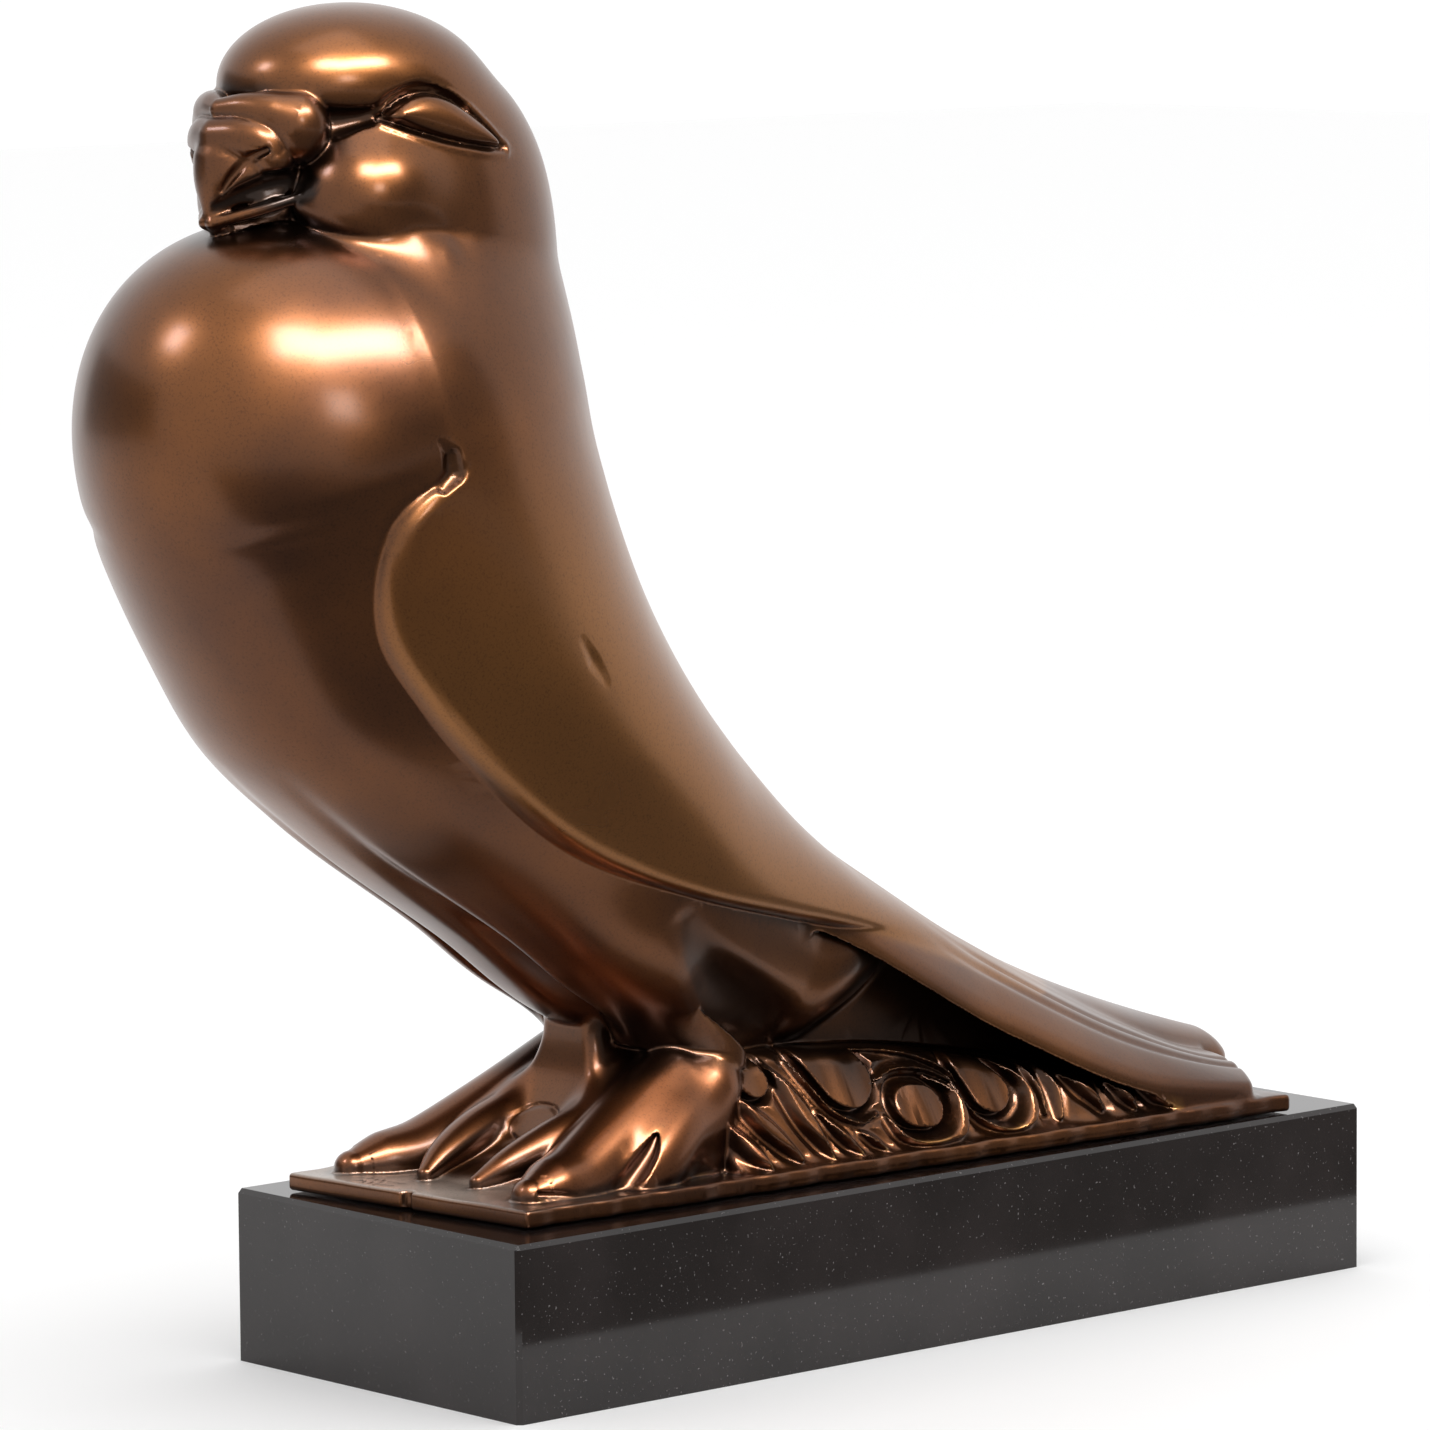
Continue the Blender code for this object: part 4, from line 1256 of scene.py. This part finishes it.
    def build(self) -> bpy.types.Object:
        """Build and dress the casting.

        Returns:
            The piece.
        """
        skin = Skin(self.shape, (0.0, -168.0, -6.0), (48.0, 112.0, 206.0), self.cell)
        mesh, points = skin.mesh("bronze_pigeon_skin", self.triangles)
        slope = skin.slope(points, 0.12)
        normals = slope / np.maximum(np.linalg.norm(slope, axis=1, keepdims=True), 1e-9)
        for name, share in self.zones(skin, points, normals).items():
            layer = mesh.attributes.new(name, "FLOAT", "POINT")
            layer.data.foreach_set("value", share.astype(np.float32))
        placed = (self.slew(points) + np.array([0, 0, SEAT])) * MM
        mesh.vertices.foreach_set("co", placed.astype(np.float32).ravel())
        mesh.update()
        mesh.shade_smooth()
        mesh.normals_split_custom_set_from_vertices(normals.tolist())
        mesh.materials.clear()
        mesh.materials.append(self.patina.material())
        return place("bronze_pigeon_skin", mesh)


@dataclass
class Plinth:
    """Rectangular stone block with a fine chamfer."""

    length: float = 0.200
    width: float = 0.075
    height: float = 0.030
    chamfer: float = 0.0008
    stone: Stone = Stone()

    def build(self) -> bpy.types.Object:
        """Build and dress the block.

        Returns:
            The piece.
        """
        mesh = bpy.data.meshes.new("stone_block")
        form = bmesh.new()
        bmesh.ops.create_cube(form, size=1.0)
        bmesh.ops.scale(form, vec=(self.width, self.length, self.height), verts=form.verts)
        bmesh.ops.translate(form, vec=(0, 0, self.height / 2), verts=form.verts)
        edges = [e for e in form.edges if max(v.co.z for v in e.verts) > self.height / 2]
        bmesh.ops.bevel(form, geom=edges, offset=self.chamfer, segments=1, affect="EDGES")
        form.to_mesh(mesh)
        form.free()
        mesh.materials.append(self.stone.material())
        return place("stone_block", mesh)


@dataclass
class Strokes:
    """Rows of short shallow strokes on the front of the base plate."""

    rows: Sequence[float] = (-0.0905, -0.0878)
    reach: tuple[float, float] = (-0.0170, 0.0040)
    count: int = 15
    stroke_length: float = 0.0021
    stroke_width: float = 0.00022
    lift: float = 0.00004
    seed: int = 7
    wax: Plain = Plain("stroke wax", (0.045, 0.024, 0.014, 1.0), roughness=0.5, metal=0.6)

    def guide(self) -> bpy.types.Object:
        """Lines that the rows follow.

        Returns:
            The lines, as an object that still has to be dressed.
        """
        mesh = bpy.data.meshes.new("stroke_rows")
        top = SEAT * MM + self.lift
        points = [(x, y + SLEW * x, top) for y in self.rows for x in self.reach]
        mesh.from_pydata(points, [(i, i + 1) for i in range(0, len(points), 2)], [])
        return place("inscription_strokes", mesh)

    def tree(self, finish: bpy.types.Material) -> bpy.types.GeometryNodeTree:
        """Node tree that strews short flat strokes along the lines, each at its own slant.

        Args:
            finish: Material of the strokes.

        Returns:
            The tree, whose inputs are the count, length, width and seed.
        """
        tree = bpy.data.node_groups.new("strokes_along_rows", "GeometryNodeTree")
        for name, way, kind in (("Geometry", "INPUT", "Geometry"), ("Count", "INPUT", "Int"),
                                ("Length", "INPUT", "Float"), ("Width", "INPUT", "Float"),
                                ("Seed", "INPUT", "Int"), ("Geometry", "OUTPUT", "Geometry")):
            tree.interface.new_socket(name, in_out=way, socket_type="NodeSocket" + kind)
        new, link = tree.nodes.new, tree.links.new
        given, made = new("NodeGroupInput"), new("NodeGroupOutput")
        lines, spaced = new("GeometryNodeMeshToCurve"), new("GeometryNodeCurveToPoints")
        link(given.outputs["Geometry"], lines.inputs["Mesh"])
        link(lines.outputs["Curve"], spaced.inputs["Curve"])
        link(given.outputs["Count"], spaced.inputs["Count"])
        flat = new("GeometryNodeMeshGrid")
        flat.inputs["Vertices X"].default_value = 2
        flat.inputs["Vertices Y"].default_value = 4
        link(given.outputs["Width"], flat.inputs["Size X"])
        link(given.outputs["Length"], flat.inputs["Size Y"])
        spots = new("GeometryNodeInstanceOnPoints")
        link(spaced.outputs["Points"], spots.inputs["Points"])
        link(flat.outputs["Mesh"], spots.inputs["Instance"])
        for kind, low, high, target in (("slant", (0, 0, -0.9), (0, 0, 0.5), "Rotation"),
                                        ("size", (0.8, 0.35, 1), (1.3, 1.1, 1), "Scale")):
            chance = new("FunctionNodeRandomValue")
            chance.name = kind
            chance.data_type = "FLOAT_VECTOR"
            chance.inputs[0].default_value = low
            chance.inputs[1].default_value = high
            link(given.outputs["Seed"], chance.inputs["Seed"])
            link(chance.outputs[0], spots.inputs[target])
        real, dressed = new("GeometryNodeRealizeInstances"), new("GeometryNodeSetMaterial")
        dressed.inputs["Material"].default_value = finish
        link(spots.outputs["Instances"], real.inputs["Geometry"])
        link(real.outputs["Geometry"], dressed.inputs["Geometry"])
        link(dressed.outputs["Geometry"], made.inputs["Geometry"])
        return tree

    def build(self) -> bpy.types.Object:
        """Build the strokes as a plain mesh.

        Returns:
            The piece.
        """
        piece = self.guide()
        maker = piece.modifiers.new("strokes", "NODES")
        maker.node_group = self.tree(self.wax.material())
        values = {"Count": self.count, "Length": self.stroke_length, "Width": self.stroke_width,
                  "Seed": self.seed}
        for item in maker.node_group.interface.items_tree:
            if item.item_type == "SOCKET" and item.name in values:
                maker[item.identifier] = values[item.name]
        ready = piece.evaluated_get(bpy.context.evaluated_depsgraph_get())
        mesh = bpy.data.meshes.new_from_object(ready)
        piece.modifiers.remove(maker)
        piece.data = mesh
        return piece


# Studio


@dataclass
class Studio:
    """Pale floor, soft lights and the camera."""

    floor_size: float = 8.0
    floor_paint: Plain = Plain("floor", (0.95, 0.95, 0.95, 1.0), roughness=0.9, shine=0.1)
    world_strength: float = 1.04
    lamp_size: float = 1.2
    lamp_power: float = 6.0
    lamp_place: Point = (0.3, -0.2, 1.9)
    softbox_target: Point = (0.0, -0.05, 0.12)
    softbox_distance: float = 1.3
    camera_place: Point = (0.981395, -0.893389, 0.263173)
    camera_right: Point = (0.66445, 0.74729, -0.00792)
    camera_up: Point = (-0.08242, 0.08381, 0.99307)
    camera_back: Point = (0.74278, -0.65919, 0.11728)
    lens: float = 191.93

    def floor(self) -> bpy.types.Object:
        """Plain pale floor."""
        half = self.floor_size / 2
        corners = [(-half, -half, 0), (half, -half, 0), (half, half, 0), (-half, half, 0)]
        return sheet("floor", corners, self.floor_paint.material())

    def softbox(self, name: str, azimuth: float, elevation: float, size: tuple[float, float],
                shade: float, tint: tuple[float, float, float] = (1, 1, 1)) -> None:
        """Soft light that shows as a highlight on the polished surfaces.

        Args:
            name: Name of the light.
            azimuth: Direction it stands in, in degrees from -Y towards +X.
            elevation: Its angle above the horizon, in degrees.
            size: Its width and height, in metres.
            shade: How bright it is, where the white world is 1.
            tint: Its colour.
        """
        a, e = math.radians(azimuth), math.radians(elevation)
        out = Vector((math.sin(a) * math.cos(e), -math.cos(a) * math.cos(e), math.sin(e)))
        across = Vector((math.cos(a), math.sin(a), 0)) * size[0] / 2
        along = out.cross(across).normalized() * size[1] / 2
        middle = Vector(self.softbox_target) + out * self.softbox_distance
        self.card(name, tuple(middle), tuple(across), tuple(along), shade, tint)

    def lamp(self) -> None:
        """Broad lamp overhead that gives the floor its soft shadow."""
        data = bpy.data.lights.new("overhead", "AREA")
        data.size = self.lamp_size
        data.energy = self.lamp_power
        place("overhead", data).location = self.lamp_place

    def surroundings(self) -> None:
        """Even white world, shown without a film curve."""
        world = bpy.data.worlds.new("studio")
        world.use_nodes = True
        back = world.node_tree.nodes["Background"]
        back.inputs["Color"].default_value = (1.0, 1.0, 1.0, 1)
        back.inputs["Strength"].default_value = self.world_strength
        bpy.context.scene.world = world
        bpy.context.scene.view_settings.view_transform = "Standard"

    def card(self, name: str, middle: Point, across: Point, along: Point, shade: float,
             tint: tuple[float, float, float] = (1, 0.97, 0.94)) -> None:
        """Card that only the polished surfaces see.

        Args:
            name: Name of the card.
            middle: Its middle, in metres.
            across, along: Its two half sides.
            shade: How bright it is, where the white world is 1.
            tint: Its colour.
        """
        centre, a, b = Vector(middle), Vector(across), Vector(along)
        corners = [tuple(centre + i * a + j * b) for i, j in ((-1, -1), (1, -1), (1, 1), (-1, 1))]
        nodes = Nodes(name)
        nodes.shader.inputs["Base Color"].default_value = (0, 0, 0, 1)
        nodes.shader.inputs["Specular IOR Level"].default_value = 0.0
        nodes.shader.inputs["Emission Color"].default_value = (*tint, 1)
        nodes.shader.inputs["Emission Strength"].default_value = shade
        card = sheet(name, corners, nodes.material)
        card.visible_camera = card.visible_diffuse = card.visible_shadow = False

    def camera(self) -> None:
        """Camera at the photograph's place and angle."""
        data = bpy.data.cameras.new("camera")
        data.sensor_fit = "HORIZONTAL"
        data.sensor_width = 36.0
        data.lens = self.lens
        data.clip_start = 0.05
        data.clip_end = 50.0
        camera = place("camera", data)
        turn = Matrix((self.camera_right, self.camera_up, self.camera_back)).transposed()
        camera.matrix_world = Matrix.Translation(self.camera_place) @ turn.to_4x4()
        bpy.context.scene.camera = camera

    def build(self) -> bpy.types.Object:
        """Set the stage.

        Returns:
            The floor.
        """
        self.surroundings()
        self.lamp()
        self.softbox("key", azimuth=84, elevation=47, size=(0.85, 0.30), shade=42)
        self.softbox("fill", azimuth=50, elevation=48, size=(0.34, 0.34), shade=40)
        self.softbox("low", azimuth=68, elevation=20, size=(0.24, 0.24), shade=14)
        self.softbox("window", azimuth=-22, elevation=38, size=(0.20, 0.24), shade=24,
                     tint=(0.85, 0.88, 1.0))
        self.card("left card", middle=(-1.3, -1.0, 0.30), across=(0.62, -0.78, 0), along=(0, 0, 0.30),
                  shade=0.28)
        self.card("right card", middle=(1.5, 0.35, 0.75), across=(-0.2, 1.1, 0), along=(0, 0, 0.75),
                  shade=0.30)
        self.card("table card", middle=(0.55, -0.05, 0.002), across=(0.47, 0, 0), along=(0, 0.72, 0),
                  shade=0.25)
        self.camera()
        return self.floor()


def main() -> None:
    """Build every piece in order and report it."""
    logging.basicConfig(level=logging.INFO, format="%(name)s: %(message)s")
    pieces = (("bronze_pigeon", "bronze", Pigeon()), ("marble_plinth", "stone", Plinth()))
    for node, slot, maker in pieces:
        piece = maker.build()
        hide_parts(node)
        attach(piece, "root")
        log.info("%s: %d faces", piece.name, len(piece.data.polygons))
    strokes = Strokes().build()
    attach(strokes, "root")
    log.info("%s: %d faces", strokes.name, len(strokes.data.polygons))
    Studio().build()


if __name__ == "__main__":
    main()
